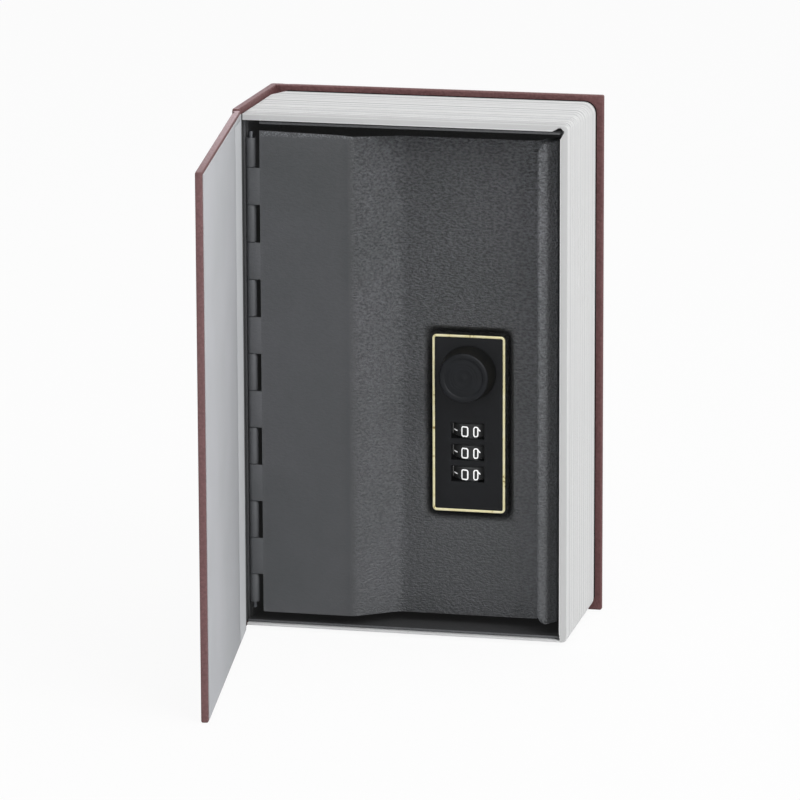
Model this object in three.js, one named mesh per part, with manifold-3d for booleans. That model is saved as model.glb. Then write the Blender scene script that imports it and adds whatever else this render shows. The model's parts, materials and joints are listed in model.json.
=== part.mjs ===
// Book safe: a hard cover round a block of moulded pages that hides a steel box with a combination lock.
// Millimetres. X runs from the spine to the fore-edge, Y from the front cover to the back, Z up.
import * as THREE from "three";
import { mergeVertices } from "three/addons/utils/BufferGeometryUtils.js";
import Module from "manifold-3d";

const wasm = await Module();
wasm.setup();

// Driving sizes of the book
const bookHeight = 180.4;
const bookWidth = 116.9;
const bookDepth = 55;
const openAngle = THREE.MathUtils.degToRad(81.5);

// Cover
const boardThickness = 2.4;
const boardRound = 0.4;
const coverJointGap = 1.9;
const jointClothRadius = 1.2;
const endpaperThickness = 0.25;
const endpaperMargin = 1;

// Page block
const headSquare = 1.8;
const tailSquare = 1.2;
const foreSquare = 2.6;
const rimWidth = 2.1;
const headRimWidth = 1.9;
const tailRimWidth = 1.2;
const pageGroups = 14;
const pageEase = 0.25;
const grooveWidth = 0.2;
const grooveDepth = 0.5;
const frontCornerRadius = 1.9;
const backCornerRadius = 4.2;
const cornerNotchShare = 0.8;
const cornerNotchDepth = 6;

// Clearances
const fitGap = 0.3;
const runGap = 0.1;
const stackGap = 0.1;
const cutOver = 1;

// Steel box and door
const steel = 0.8;
const boxGap = 0.4;
const spineGap = 0.8;
const boxSetback = 1.5;
const sideSetback = 7.5;
const doorTopGap = 3.7;
const doorBottomGap = 2.5;
const doorSideGap = 0.9;
const doorSetback = 1.15;
const plateauShare = 0.3129;
const slopeShare = 0.4492;
const recessDepth = 10;
const flangeExtra = 2.8;
const lipWidth = 6.2;
const lipFlat = 3.4;
const lipLean = 1;
const flankDepth = 5.3;
const bendRadius = 1.7;
const lipBendRadius = 1;
const flankBendRadius = 2.3;
const slopeBendRadius = 5;
const lipEndWide = 3.4;
const lipEndTall = 4.6;
const lipPlug = 9;

// Hinge
const knuckleRadius = 1.65;
const knuckleBite = 0.2;
const pinRadius = 0.9;
const pinOverhang = 2.2;
const pinHead = 0.4;
const boxKnuckles = 7;
const hingeTopInset = 1.6;
const hingeBottomInset = 3.1;
const topKnuckleShare = 0.787;
const bottomKnuckleShare = 0.772;
const slotWidth = 1.7;

// Lock plate and housing
const lockHeightShare = 0.4043;
const lockWidth = 25.2;
const lockHeight = 61.3;
const lockCorner = 1.5;
const plateProud = 0.6;
const pocketMargin = 2.7;
const pocketDepth = 3;
const bezelWidth = 0.9;
const bezelDeep = 1;
const housingShare = 0.8157;
const housingWall = 2.6;
const frontWall = 1.8;
const springRoom = 1.4;
const lockCoverThickness = 1.2;

// Dials
const dialRadius = 6.8;
const dialChamfer = 0.4;
const dialCount = 3;
const dialSink = 0.4;
const topDialShare = 0.0415;
const dialPitchShare = 0.1223;
const dialWidthShare = 0.613;
const windowWidthShare = 0.8456;
const windowHeightShare = 0.693;
const codeRingShare = 0.632;
const gateWidth = 2;
const gateDepth = 1.5;
const dialShaftRadius = 1.5;
const dialShaftShare = 0.467;
const springThickness = 0.4;
const springWidthShare = 0.882;
const springSlot = 1.2;
const springBump = 0.6;

// Knob, shaft and cam
const knobShare = 0.287;
const knobRadius = 9.5;
const knobTaper = 0.9;
const knobRound = 1.3;
const knobSink = 0.4;
const knobDishShare = 0.6875;
const knobDishDepth = 0.35;
const knobBoreShare = 0.63;
const shaftRadius = 3;
const camHubRadius = 6.5;
const camWidth = 8;
const camThickness = 2;
const camTipGap = 0.7;
const washerRadius = 5;
const washerThickness = 0.5;
const nutRadius = 5.2;
const nutThickness = 2.4;
const nutSides = 6;
const shaftEnd = 0.4;

// Reset lever on the lock's back
const leverShare = 0.163;
const leverTravel = 2.4;
const leverStemWidth = 2;
const leverStemHeight = 4;
const leverCapWidth = 5;
const leverCapHeight = 6.6;
const leverCapThickness = 1.1;

// Strike on the box wall
const strikeHeight = 22;
const strikeReach = 7.5;
const strikeThickness = 2;
const strikeLeafShare = 0.658;
const strikeGap = 0.5;
const strikeRivetSpread = 13;

// Fasteners
const boxRivetShank = 1.5;
const boxRivetHead = 3;
const boxRivetHeadHeight = 1.1;
const boxRivetBiteShare = 0.68;
const boxRivetInsetX = 22;
const boxRivetInsetZ = 26;
const screwShank = 1;
const screwHead = 2;
const screwHeadHeight = 1.1;
const screwLength = 2.4;
const coverScrewInset = 3.5;
const coverScrewLength = 5;

// How finely round shapes are divided
const knobSteps = 64;
const roundSteps = 32;
const smallRoundSteps = 20;
const cornerSteps = 4;
const bendSteps = 5;
const coarseSteps = 12;

// Places that follow from the sizes
const spineInner = boardThickness;
const coverAxisX = jointClothRadius;
const endpaperFront = boardThickness + stackGap;
const coverInner = endpaperFront + endpaperThickness;
const blockFront = coverInner + fitGap;
const backInner = bookDepth - boardThickness;
const blockBack = backInner - endpaperThickness;
const blockLeft = spineInner + fitGap;
const blockRight = bookWidth - foreSquare;
const blockBottom = tailSquare;
const blockTop = bookHeight - headSquare;
const coverReach = bookWidth - coverAxisX;

const boxFront = blockFront + boxSetback;
const boxLeft = spineInner + spineGap;
const boxRight = blockRight - rimWidth - boxGap;
const boxBottom = blockBottom + tailRimWidth + boxGap;
const boxTop = blockTop - headRimWidth - boxGap;
const innerLeft = boxLeft + steel;
const innerRight = boxRight - steel;
const innerBottom = boxBottom + steel;
const innerTop = boxTop - steel;
const innerBack = blockBack - steel;

const doorFront = blockFront + doorSetback;
const doorBottom = innerBottom + doorBottomGap;
const doorTop = innerTop - doorTopGap;
const doorHeight = doorTop - doorBottom;
const doorRight = innerRight - doorSideGap;
const pinX = innerLeft + knuckleRadius - knuckleBite;
const pinY = doorFront + knuckleRadius;
const doorLeft = pinX + knuckleRadius + slotWidth;
const plateauEnd = THREE.MathUtils.lerp(doorLeft, doorRight, plateauShare);
const slopeEnd = THREE.MathUtils.lerp(doorLeft, doorRight, slopeShare);
const recessFront = doorFront + recessDepth;
const lipLeft = doorRight - lipWidth;
const hingeBottom = doorBottom + hingeBottomInset;
const hingeTop = doorTop - hingeTopInset;
const knuckleShares = 2 * boxKnuckles - 3 + bottomKnuckleShare + topKnuckleShare;
const knucklePitch = (hingeTop - hingeBottom) / knuckleShares;

const lockX = (slopeEnd + lipLeft - lipLean) / 2;
const lockZ = THREE.MathUtils.lerp(doorBottom, doorTop, lockHeightShare);
const plateFront = recessFront - plateProud;
const floorFront = recessFront + pocketDepth;
const floorBack = floorFront + steel;
const dialPitch = dialPitchShare * lockHeight;
const dialWidth = dialWidthShare * dialPitch;
const dialFront = plateFront + dialSink;
const dialY = dialFront + dialRadius;
const topDialZ = lockZ - topDialShare * lockHeight;
const bottomDialZ = topDialZ - (dialCount - 1) * dialPitch;
const hubBottom = bottomDialZ - dialPitch / 2;
const hubTop = topDialZ + dialPitch / 2;
const windowWidth = 2 * windowWidthShare * dialRadius;
const windowHeight = windowHeightShare * dialPitch;
const codeRingRadius = codeRingShare * dialRadius;
const dialShaftReach = dialShaftShare * dialPitch;
const springWidth = 2 * springWidthShare * dialRadius;
const housingHeight = housingShare * lockHeight;
const housingWidth = 2 * (dialRadius + 2 * fitGap + housingWall);
const housingBack = dialY + dialRadius + springRoom;
const coverBack = housingBack + lockCoverThickness;
const coverScrewOffset = housingWidth / 2 - coverScrewInset;
const plateScrewOffset = (housingHeight + lockHeight) / 4;

const knobZ = lockZ + knobShare * lockHeight;
const knobFront = doorFront + knobSink;
const knobBack = plateFront - fitGap;
const knobDish = knobDishShare * knobRadius;
const knobBoreDepth = knobBoreShare * (knobBack - knobFront);
const leverZ = lockZ - leverShare * lockHeight;
const washerFront = coverBack + stackGap;
const camFront = washerFront + washerThickness + stackGap;
const camBack = camFront + camThickness;
const nutFront = camBack + stackGap;
const nutBack = nutFront + nutThickness;
const strikeLeafX = innerRight - steel;
const strikeBack = camFront - strikeGap;
const strikeFront = strikeBack - strikeThickness;
const strikeLeafDepth = strikeLeafShare * (innerBack - strikeFront);
const camReach = strikeLeafX - camTipGap - lockX;
const boxRivetBite = boxRivetBiteShare * boardThickness;

// Materials
const surface = (color, roughness, metalness) =>
  new THREE.MeshStandardMaterial({ color, roughness, metalness });
const leatherette = surface(0x694343, 0.6, 0);
const jointCloth = surface(0x5c3a3a, 0.8, 0);
const paper = surface(0xcfd1d2, 0.85, 0);
const pagePlastic = surface(0xe2e2e0, 0.6, 0);
const powderCoat = surface(0x505254, 0.55, 0.2);
const blackPlastic = surface(0x1e1f20, 0.4, 0);
const goldTrim = surface(0xd2bf78, 0.3, 1);
const dialPlastic = surface(0x141415, 0.35, 0);
const brightSteel = surface(0xa9abad, 0.35, 1);

// Turns a closed geometry into a solid that can be joined and cut.
function solid(geometry) {
  const bare = geometry.index ? geometry.toNonIndexed() : geometry.clone();
  bare.deleteAttribute("normal");
  bare.deleteAttribute("uv");
  const merged = mergeVertices(bare);
  const vertProperties = new Float32Array(merged.attributes.position.array);
  const triVerts = new Uint32Array(merged.index.array);
  return new wasm.Manifold(new wasm.Mesh({ numProp: 3, vertProperties, triVerts }));
}

// Turns a solid back into a geometry with flat normals.
function geometryOf(body) {
  const mesh = body.getMesh();
  const position = new THREE.BufferAttribute(new Float32Array(mesh.vertProperties), mesh.numProp);
  const made = new THREE.BufferGeometry().setAttribute("position", position);
  made.setIndex(new THREE.BufferAttribute(new Uint32Array(mesh.triVerts), 1));
  const flat = made.toNonIndexed();
  flat.computeVertexNormals();
  return flat;
}

function addMesh(group, name, body, material) {
  const mesh = new THREE.Mesh(geometryOf(body), material);
  mesh.name = name;
  group.add(mesh);
}

// A block between two opposite corners.
function block(x0, x1, y0, y1, z0, z1) {
  const made = new THREE.BoxGeometry(x1 - x0, y1 - y0, z1 - z0);
  return solid(made.translate((x0 + x1) / 2, (y0 + y1) / 2, (z0 + z1) / 2));
}

// A round rod along Z or along Y.
function rodZ(x, y, radius, z0, z1, steps = roundSteps) {
  const made = new THREE.CylinderGeometry(radius, radius, z1 - z0, steps).rotateX(Math.PI / 2);
  return solid(made.translate(x, y, (z0 + z1) / 2));
}

function rodY(x, z, radius, y0, y1, steps = roundSteps) {
  const made = new THREE.CylinderGeometry(radius, radius, y1 - y0, steps);
  return solid(made.translate(x, (y0 + y1) / 2, z));
}

function rodX(y, z, radius, x0, x1, steps = roundSteps) {
  const made = new THREE.CylinderGeometry(radius, radius, x1 - x0, steps).rotateZ(Math.PI / 2);
  return solid(made.translate((x0 + x1) / 2, y, z));
}

// A rectangle in X and Z with a radius of its own at each corner, from lower left round to upper left.
function roundedOutline(x0, x1, z0, z1, radii) {
  const [lowLeft, lowRight, highRight, highLeft] = radii;
  const shape = new THREE.Shape();
  shape.moveTo(x0 + lowLeft, z0);
  shape.lineTo(x1 - lowRight, z0);
  if (lowRight > 0) shape.absarc(x1 - lowRight, z0 + lowRight, lowRight, -Math.PI / 2, 0);
  shape.lineTo(x1, z1 - highRight);
  if (highRight > 0) shape.absarc(x1 - highRight, z1 - highRight, highRight, 0, Math.PI / 2);
  shape.lineTo(x0 + highLeft, z1);
  if (highLeft > 0) shape.absarc(x0 + highLeft, z1 - highLeft, highLeft, Math.PI / 2, Math.PI);
  shape.lineTo(x0, z0 + lowLeft);
  if (lowLeft > 0) shape.absarc(x0 + lowLeft, z0 + lowLeft, lowLeft, Math.PI, 1.5 * Math.PI);
  return shape;
}

// A plate with an outline in X and Z, between two depths, its edges eased by a small bevel.
function plate(shape, y0, y1, ease = 0) {
  const settings = { depth: y1 - y0 - 2 * ease, curveSegments: cornerSteps, bevelEnabled: ease > 0 };
  if (ease > 0) {
    Object.assign(settings, { bevelSize: ease, bevelThickness: ease, bevelOffset: -ease, bevelSegments: 1 });
  }
  const made = new THREE.ExtrudeGeometry(shape, settings);
  return solid(made.rotateX(Math.PI / 2).translate(0, y1 - ease, 0));
}

function roundedPlate(x0, x1, z0, z1, radius, y0, y1, ease = 0) {
  return plate(roundedOutline(x0, x1, z0, z1, [radius, radius, radius, radius]), y0, y1, ease);
}

// A shape turned about a line along Y, from a profile of radius and depth.
function turnedY(x, z, profile, steps = roundSteps) {
  const points = profile.map(([radius, y]) => new THREE.Vector2(radius, y));
  return solid(new THREE.LatheGeometry(points, steps).translate(x, 0, z));
}

// A shape turned about a line along Z, from a profile of radius and height.
function turnedZ(x, y, profile, steps = roundSteps) {
  const points = profile.map(([radius, z]) => new THREE.Vector2(radius, z));
  const made = new THREE.LatheGeometry(points, steps).rotateX(Math.PI / 2);
  return solid(made.translate(x, y, 0));
}

// The outline of a bent sheet that follows corner points, each with the bend radius of its centre line.
function bentOutline(corners, thickness) {
  const left = [];
  const right = [];
  const half = thickness / 2;
  const direction = (from, to) => new THREE.Vector2(to.x - from.x, to.y - from.y).normalize();
  const across = (d) => new THREE.Vector2(-d.y, d.x);
  corners.forEach((corner, i) => {
    const before = corners[i - 1];
    const after = corners[i + 1];
    const place = new THREE.Vector2(corner.x, corner.y);
    if (!before || !after) {
      const normal = across(before ? direction(before, corner) : direction(corner, after));
      left.push(place.clone().addScaledVector(normal, half));
      right.push(place.clone().addScaledVector(normal, -half));
      return;
    }
    const inward = direction(before, corner);
    const outward = direction(corner, after);
    const turn = Math.atan2(inward.cross(outward), inward.dot(outward));
    const side = Math.sign(turn);
    const start = place.clone().addScaledVector(inward, -corner.bend * Math.tan(Math.abs(turn) / 2));
    const centre = start.clone().addScaledVector(across(inward), side * corner.bend);
    for (let step = 0; step <= bendSteps; step++) {
      const normal = across(inward).rotateAround(new THREE.Vector2(), (turn * step) / bendSteps);
      left.push(centre.clone().addScaledVector(normal, half - side * corner.bend));
      right.push(centre.clone().addScaledVector(normal, -half - side * corner.bend));
    }
  });
  return new THREE.Shape([...left, ...right.reverse()]);
}

// A pan-head rivet or screw whose axis runs along Y, with its head towards the front or the back.
function headedPin(x, z, shank, head, headHeight, seatY, tipY) {
  const out = Math.sign(seatY - tipY);
  const crown = seatY + out * headHeight;
  const shoulder = seatY + (out * headHeight) / 2;
  const profile = [
    [0, tipY],
    [shank, tipY],
    [shank, seatY],
    [head, seatY],
    [head, shoulder],
    [(head + shank) / 2, crown],
    [0, crown],
  ];
  return turnedY(x, z, out > 0 ? profile : profile.reverse(), smallRoundSteps);
}

// Page block
// The pages are moulded in groups. Each group is a slab with eased edges on a common core.
function pageBlock() {
  const depth = blockBack - blockFront;
  const pitch = depth / pageGroups;
  const outline = (inset, radius) => {
    const radii = [0, radius, radius, 0];
    return roundedOutline(blockLeft, blockRight - inset, blockBottom + inset, blockTop - inset, radii);
  };
  const coreFront = blockFront + grooveWidth;
  let body = plate(outline(grooveDepth, backCornerRadius), coreFront, blockBack - grooveWidth);
  for (let group = 0; group < pageGroups; group++) {
    const along = group / (pageGroups - 1);
    const radius = THREE.MathUtils.lerp(frontCornerRadius, backCornerRadius, along);
    const front = group ? blockFront + group * pitch + grooveWidth / 2 : blockFront;
    const back = group < pageGroups - 1 ? blockFront + (group + 1) * pitch - grooveWidth / 2 : blockBack;
    body = body.add(plate(outline(0, radius), front, back, pageEase));
  }
  const openLeft = blockLeft - cutOver;
  const openRight = blockRight - rimWidth;
  const openBottom = blockBottom + tailRimWidth;
  const openTop = blockTop - headRimWidth;
  const front = blockFront - cutOver;
  body = body.subtract(block(openLeft, openRight, front, blockBack + cutOver, openBottom, openTop));
  for (const [z, rim] of [[openBottom, tailRimWidth], [openTop, headRimWidth]]) {
    const notch = rodY(openRight, z, cornerNotchShare * rim, front, blockFront + cornerNotchDepth, 4);
    body = body.subtract(notch);
  }
  return body;
}

// Steel box
// The places of the rivets through the back of the box and into the back board.
function boxRivetPlaces() {
  const places = [];
  for (const x of [innerLeft + boxRivetInsetX, innerRight - boxRivetInsetX]) {
    for (const z of [innerBottom + boxRivetInsetZ, innerTop - boxRivetInsetZ]) places.push([x, z]);
  }
  return places;
}

function strikeRivetPlaces() {
  const y = strikeFront + (2 * strikeLeafDepth) / 3;
  return [-1, 1].map((side) => [y, knobZ + (side * strikeRivetSpread) / 2]);
}

// The height span of each knuckle from the bottom up. Even ones belong to the box, odd ones to the door.
function knuckleSpans() {
  const spans = [];
  let z = hingeBottom;
  const last = 2 * boxKnuckles - 2;
  for (let i = 0; i <= last; i++) {
    const share = i === 0 ? bottomKnuckleShare : i === last ? topKnuckleShare : 1;
    const length = share * knucklePitch;
    spans.push([z + stackGap, z + length - stackGap]);
    z += length;
  }
  return spans;
}

function safeBox() {
  const wallFront = pinY + knuckleRadius + fitGap;
  let body = block(boxLeft, boxRight, boxFront, blockBack, boxBottom, boxTop);
  const mouth = boxFront - cutOver;
  body = body.subtract(block(innerLeft, innerRight, mouth, innerBack, innerBottom, innerTop));
  body = body.subtract(block(boxLeft - cutOver, innerLeft, mouth, wallFront, innerBottom, innerTop));
  body = body.subtract(
    block(innerRight, boxRight + cutOver, mouth, blockFront + sideSetback, innerBottom, innerTop));
  knuckleSpans().forEach(([z0, z1], i) => {
    if (i % 2) return;
    body = body.add(block(boxLeft, innerLeft, pinY, wallFront + cutOver, z0, z1));
    body = body.add(rodZ(pinX, pinY, knuckleRadius, z0, z1, smallRoundSteps));
  });
  body = body.subtract(rodZ(pinX, pinY, pinRadius + stackGap, innerBottom, innerTop, smallRoundSteps));
  for (const [x, z] of boxRivetPlaces()) {
    const hole = rodY(x, z, boxRivetShank + fitGap, innerBack - cutOver, blockBack + cutOver, smallRoundSteps);
    body = body.subtract(hole);
  }
  for (const [y, z] of strikeRivetPlaces()) {
    const hole = rodX(y, z, screwShank + fitGap, innerRight - cutOver, boxRight + cutOver, smallRoundSteps);
    body = body.subtract(hole);
  }
  return body;
}

function hingePin() {
  const low = hingeBottom - pinOverhang;
  const high = hingeTop + pinOverhang;
  const profile = [
    [0, low],
    [pinRadius - pinHead, low],
    [pinRadius, low + pinHead],
    [pinRadius, high - pinHead],
    [pinRadius - pinHead, high],
    [0, high],
  ];
  return turnedZ(pinX, pinY, profile, smallRoundSteps);
}

function strike() {
  const z0 = knobZ - strikeHeight / 2;
  const z1 = knobZ + strikeHeight / 2;
  const leafBack = strikeFront + strikeLeafDepth;
  let body = block(strikeLeafX, innerRight, strikeFront, leafBack, z0, z1);
  body = body.add(block(strikeLeafX - strikeReach, innerRight, strikeFront, strikeBack, z0, z1));
  for (const [y, z] of strikeRivetPlaces()) {
    const hole = rodX(y, z, screwShank + fitGap, strikeLeafX - cutOver, innerRight + cutOver, smallRoundSteps);
    body = body.subtract(hole);
  }
  return body;
}

function strikeRivet(y, z) {
  const head = rodX(y, z, screwHead, strikeLeafX - screwHeadHeight, strikeLeafX, smallRoundSteps);
  return head.add(rodX(y, z, screwShank, strikeLeafX - stackGap, boxRight, smallRoundSteps));
}

// Door
// The door is one pressed sheet: a plateau by the hinge, a slope down to the recess, and a lip to pull.
function doorPanel() {
  const half = steel / 2;
  const corners = [
    { x: doorLeft, y: doorFront + half },
    { x: plateauEnd, y: doorFront + half, bend: slopeBendRadius },
    { x: slopeEnd, y: recessFront + half, bend: slopeBendRadius },
    { x: lipLeft - lipLean + half, y: recessFront + half, bend: bendRadius },
    { x: lipLeft + half, y: doorFront + half, bend: lipBendRadius },
    { x: lipLeft + lipFlat, y: doorFront + half, bend: flankBendRadius },
    { x: doorRight - half, y: doorFront + flankDepth, bend: bendRadius },
    { x: doorRight - half, y: recessFront + flangeExtra },
  ];
  const sheet = new THREE.ExtrudeGeometry(bentOutline(corners, steel), {
    depth: doorTop - doorBottom,
    bevelEnabled: false,
  });
  let body = solid(sheet.translate(0, 0, doorBottom));
  body = body.add(lipEnds()).subtract(lipCorners());
  body = doorPocket(body);
  return doorKnuckles(body);
}

// The lip is closed at both ends and its left end corners are rounded off.
function lipEnds() {
  const half = steel / 2;
  const shape = new THREE.Shape();
  shape.moveTo(lipLeft - lipLean + half, recessFront + half);
  shape.lineTo(lipLeft + half, doorFront + lipBendRadius);
  shape.lineTo(lipLeft + lipBendRadius, doorFront + half);
  shape.lineTo(lipLeft + lipFlat - flankBendRadius / 2, doorFront + half);
  shape.lineTo(lipLeft + lipFlat + half, doorFront + flankBendRadius / 2);
  shape.lineTo(doorRight - half, doorFront + flankDepth + half);
  shape.lineTo(doorRight - half, recessFront + half);
  const plug = solid(new THREE.ExtrudeGeometry(shape, { depth: lipPlug, bevelEnabled: false }));
  return plug.translate(0, 0, doorBottom).add(plug.translate(0, 0, doorTop - lipPlug));
}

function lipCorners() {
  const x0 = lipLeft - lipLean;
  const corner = (z, up) => {
    const shape = new THREE.Shape();
    shape.moveTo(x0 - cutOver, z + up * cutOver);
    shape.lineTo(x0 - cutOver, z - up * lipEndTall);
    shape.lineTo(x0, z - up * lipEndTall);
    for (let step = 1; step <= bendSteps; step++) {
      const turn = (step * Math.PI) / 2 / bendSteps;
      const across = lipEndWide * (1 - Math.cos(turn));
      shape.lineTo(x0 + lipLean + across, z - up * lipEndTall * (1 - Math.sin(turn)));
    }
    shape.lineTo(x0 + lipLean + lipEndWide, z + up * cutOver);
    return plate(shape, doorFront - cutOver, recessFront);
  };
  return corner(doorTop, 1).add(corner(doorBottom, -1));
}

// A pressed pocket takes the lock plate. Its floor has the housing's hole and two screw holes.
function doorPocket(body) {
  const x0 = lockX - lockWidth / 2 - pocketMargin;
  const x1 = lockX + lockWidth / 2 + pocketMargin;
  const z0 = lockZ - lockHeight / 2 - pocketMargin;
  const z1 = lockZ + lockHeight / 2 + pocketMargin;
  const radius = lockCorner + pocketMargin;
  const shell = roundedPlate(x0 - steel, x1 + steel, z0 - steel, z1 + steel, radius + steel, recessFront, floorBack);
  const hollow = roundedPlate(x0, x1, z0, z1, radius, recessFront - cutOver, floorFront);
  const wide = housingWidth / 2 + fitGap;
  const tall = housingHeight / 2 + fitGap;
  const hole = block(lockX - wide, lockX + wide, recessFront, floorBack + cutOver, lockZ - tall, lockZ + tall);
  let made = body.add(shell).subtract(hollow).subtract(hole);
  for (const z of plateScrewHeights()) {
    made = made.subtract(rodY(lockX, z, screwShank + fitGap, recessFront, floorBack + cutOver, smallRoundSteps));
  }
  return made;
}

function doorKnuckles(body) {
  let made = body;
  knuckleSpans().forEach(([z0, z1], i) => {
    if (i % 2 === 0) return;
    made = made.add(block(pinX, doorLeft + cutOver, doorFront, doorFront + steel, z0, z1));
    made = made.add(rodZ(pinX, pinY, knuckleRadius, z0, z1, smallRoundSteps));
  });
  return made.subtract(rodZ(pinX, pinY, pinRadius + stackGap, doorBottom, doorTop, smallRoundSteps));
}

// Lock
function plateScrewHeights() {
  return [-1, 1].map((side) => lockZ + side * plateScrewOffset);
}

function coverScrewPlaces() {
  const low = [lockX - coverScrewOffset, hubBottom - fitGap - 2 * screwShank - stackGap];
  const high = [lockX + coverScrewOffset, (hubTop + knobZ) / 2];
  return [low, high];
}

function dialHeights() {
  return Array.from({ length: dialCount }, (_, i) => topDialZ - i * dialPitch);
}

function lockHousing() {
  const x0 = lockX - lockWidth / 2;
  const x1 = lockX + lockWidth / 2;
  const z0 = lockZ - lockHeight / 2;
  const z1 = lockZ + lockHeight / 2;
  const rebate = bezelWidth + runGap;
  const bezelSeat = plateFront - stackGap + bezelDeep + stackGap;
  let body = roundedPlate(x0, x1, z0, z1, lockCorner, bezelSeat, floorFront);
  const faceCorner = lockCorner - bezelWidth;
  const face = roundedPlate(
    x0 + rebate, x1 - rebate, z0 + rebate, z1 - rebate, faceCorner, plateFront, bezelSeat + stackGap);
  const wide = housingWidth / 2;
  const tall = housingHeight / 2;
  const trunk = block(lockX - wide, lockX + wide, bezelSeat, housingBack, lockZ - tall, lockZ + tall);
  body = body.add(face).add(trunk);
  return lockCuts(body);
}

// The room for the dials, their windows, the slot for their shaft, and the bores for shaft and screws.
function lockCuts(body) {
  const room = dialRadius + fitGap * 2;
  const back = housingBack + cutOver;
  const roomFront = plateFront + frontWall;
  const cavity = block(lockX - room, lockX + room, roomFront, back, hubBottom - fitGap, hubTop + fitGap);
  let made = body.subtract(cavity);
  for (const z of dialHeights()) {
    const wide = windowWidth / 2;
    const tall = windowHeight / 2;
    const window = block(lockX - wide, lockX + wide, plateFront - cutOver, roomFront + cutOver, z - tall, z + tall);
    made = made.subtract(window);
  }
  const slot = dialShaftRadius + stackGap;
  const slotLow = hubBottom - dialShaftReach - stackGap;
  const slotHigh = hubTop + dialShaftReach + stackGap;
  made = made.subtract(rodZ(lockX, dialY, slot, slotLow, slotHigh, smallRoundSteps));
  made = made.subtract(block(lockX - slot, lockX + slot, dialY, back, slotLow, slotHigh));
  made = made.subtract(rodY(lockX, knobZ, shaftRadius + runGap, plateFront - cutOver, back));
  for (const z of plateScrewHeights()) {
    const hole = rodY(lockX, z, screwShank + fitGap, floorFront - screwLength, floorFront + cutOver, smallRoundSteps);
    made = made.subtract(hole);
  }
  for (const [x, z] of coverScrewPlaces()) {
    const deep = housingBack - coverScrewLength;
    made = made.subtract(rodY(x, z, screwShank + fitGap, deep, back, smallRoundSteps));
  }
  return made;
}

function goldBezel() {
  const x0 = lockX - lockWidth / 2;
  const x1 = lockX + lockWidth / 2;
  const z0 = lockZ - lockHeight / 2;
  const z1 = lockZ + lockHeight / 2;
  const front = plateFront - stackGap * 2;
  const ring = roundedPlate(x0, x1, z0, z1, lockCorner, front, plateFront + bezelDeep - stackGap, stackGap);
  const w = bezelWidth;
  const inner = roundedPlate(
    x0 + w, x1 - w, z0 + w, z1 - w, lockCorner - w, front - cutOver, plateFront + bezelDeep + cutOver);
  return ring.subtract(inner);
}

function lockBackCover() {
  const wide = housingWidth / 2;
  const tall = housingHeight / 2;
  let body = block(lockX - wide, lockX + wide, housingBack, coverBack, lockZ - tall, lockZ + tall);
  const front = housingBack - cutOver;
  const back = coverBack + cutOver;
  body = body.subtract(rodY(lockX, knobZ, shaftRadius + fitGap, front, back));
  for (const [x, z] of coverScrewPlaces()) {
    body = body.subtract(rodY(x, z, screwShank + fitGap, front, back, smallRoundSteps));
  }
  const slotHalf = leverStemWidth / 2 + fitGap;
  const slotLow = leverZ - leverStemHeight / 2 - fitGap;
  const slotHigh = leverZ + leverStemHeight / 2 + leverTravel + fitGap;
  return body.subtract(block(lockX - slotHalf, lockX + slotHalf, front, back, slotLow, slotHigh));
}

function dialShaft() {
  const low = hubBottom - dialShaftReach;
  const high = hubTop + dialShaftReach;
  return rodZ(lockX, dialY, dialShaftRadius, low, high, smallRoundSteps);
}

// A leaf spring with a finger for each dial. A small bump on each finger rests in the dial's notches.
function detentSpring() {
  const back = housingBack - stackGap;
  const front = back - springThickness;
  const wide = springWidth / 2;
  let body = block(lockX - wide, lockX + wide, front, back, hubBottom, hubTop);
  dialHeights().slice(1).forEach((z) => {
    const middle = z + dialPitch / 2;
    const half = springSlot / 2;
    body = body.subtract(
      block(lockX - wide + springSlot, lockX + wide + cutOver, front - cutOver, back + cutOver, middle - half, middle + half));
  });
  dialHeights().forEach((z) => {
    const x = lockX + springSlot;
    body = body.add(rodZ(x, front, springBump, z - springBump, z + springBump, coarseSteps).intersect(
      block(x - springBump, x + springBump, front - springBump, back, z - springBump, z + springBump)));
  });
  return body;
}

// Dials
function dialWheel(z) {
  const half = dialWidth / 2;
  const bore = codeRingRadius + runGap;
  const c = dialChamfer;
  const profile = [
    [bore, -half],
    [dialRadius - c, -half],
    [dialRadius, -half + c],
    [dialRadius, half - c],
    [dialRadius - c, half],
    [bore, half],
    [bore, -half],
  ];
  return turnedZ(lockX, dialY, profile.map(([r, h]) => [r, z + h]), roundSteps);
}

function codeRing(z) {
  const half = dialPitch / 2 - stackGap;
  const bore = dialShaftRadius + stackGap;
  let body = rodZ(lockX, dialY, codeRingRadius, z - half, z + half);
  body = body.subtract(rodZ(lockX, dialY, bore, z - dialPitch, z + dialPitch, smallRoundSteps));
  const gateX = lockX + codeRingRadius - gateDepth;
  const wide = gateWidth / 2;
  const gate = block(gateX, gateX + gateDepth + cutOver, dialY - wide, dialY + wide, z + dialWidth / 2, z + dialPitch);
  return body.subtract(gate);
}

// Knob, shaft and cam
function knob() {
  const back = knobBack;
  const front = knobFront;
  const r = knobRadius - knobTaper;
  const profile = [[0, front + knobDishDepth]];
  profile.push([knobDish, front + knobDishDepth]);
  profile.push([knobDish + knobDishDepth, front]);
  for (let step = 0; step <= cornerSteps; step++) {
    const turn = (step * Math.PI) / 2 / cornerSteps;
    profile.push([r - knobRound * (1 - Math.sin(turn)), front + knobRound * (1 - Math.cos(turn))]);
  }
  profile.push([knobRadius, back]);
  profile.push([0, back]);
  const bore = rodY(lockX, knobZ, shaftRadius + runGap, back - knobBoreDepth, back + cutOver);
  return turnedY(lockX, knobZ, profile, knobSteps).subtract(bore);
}

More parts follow.
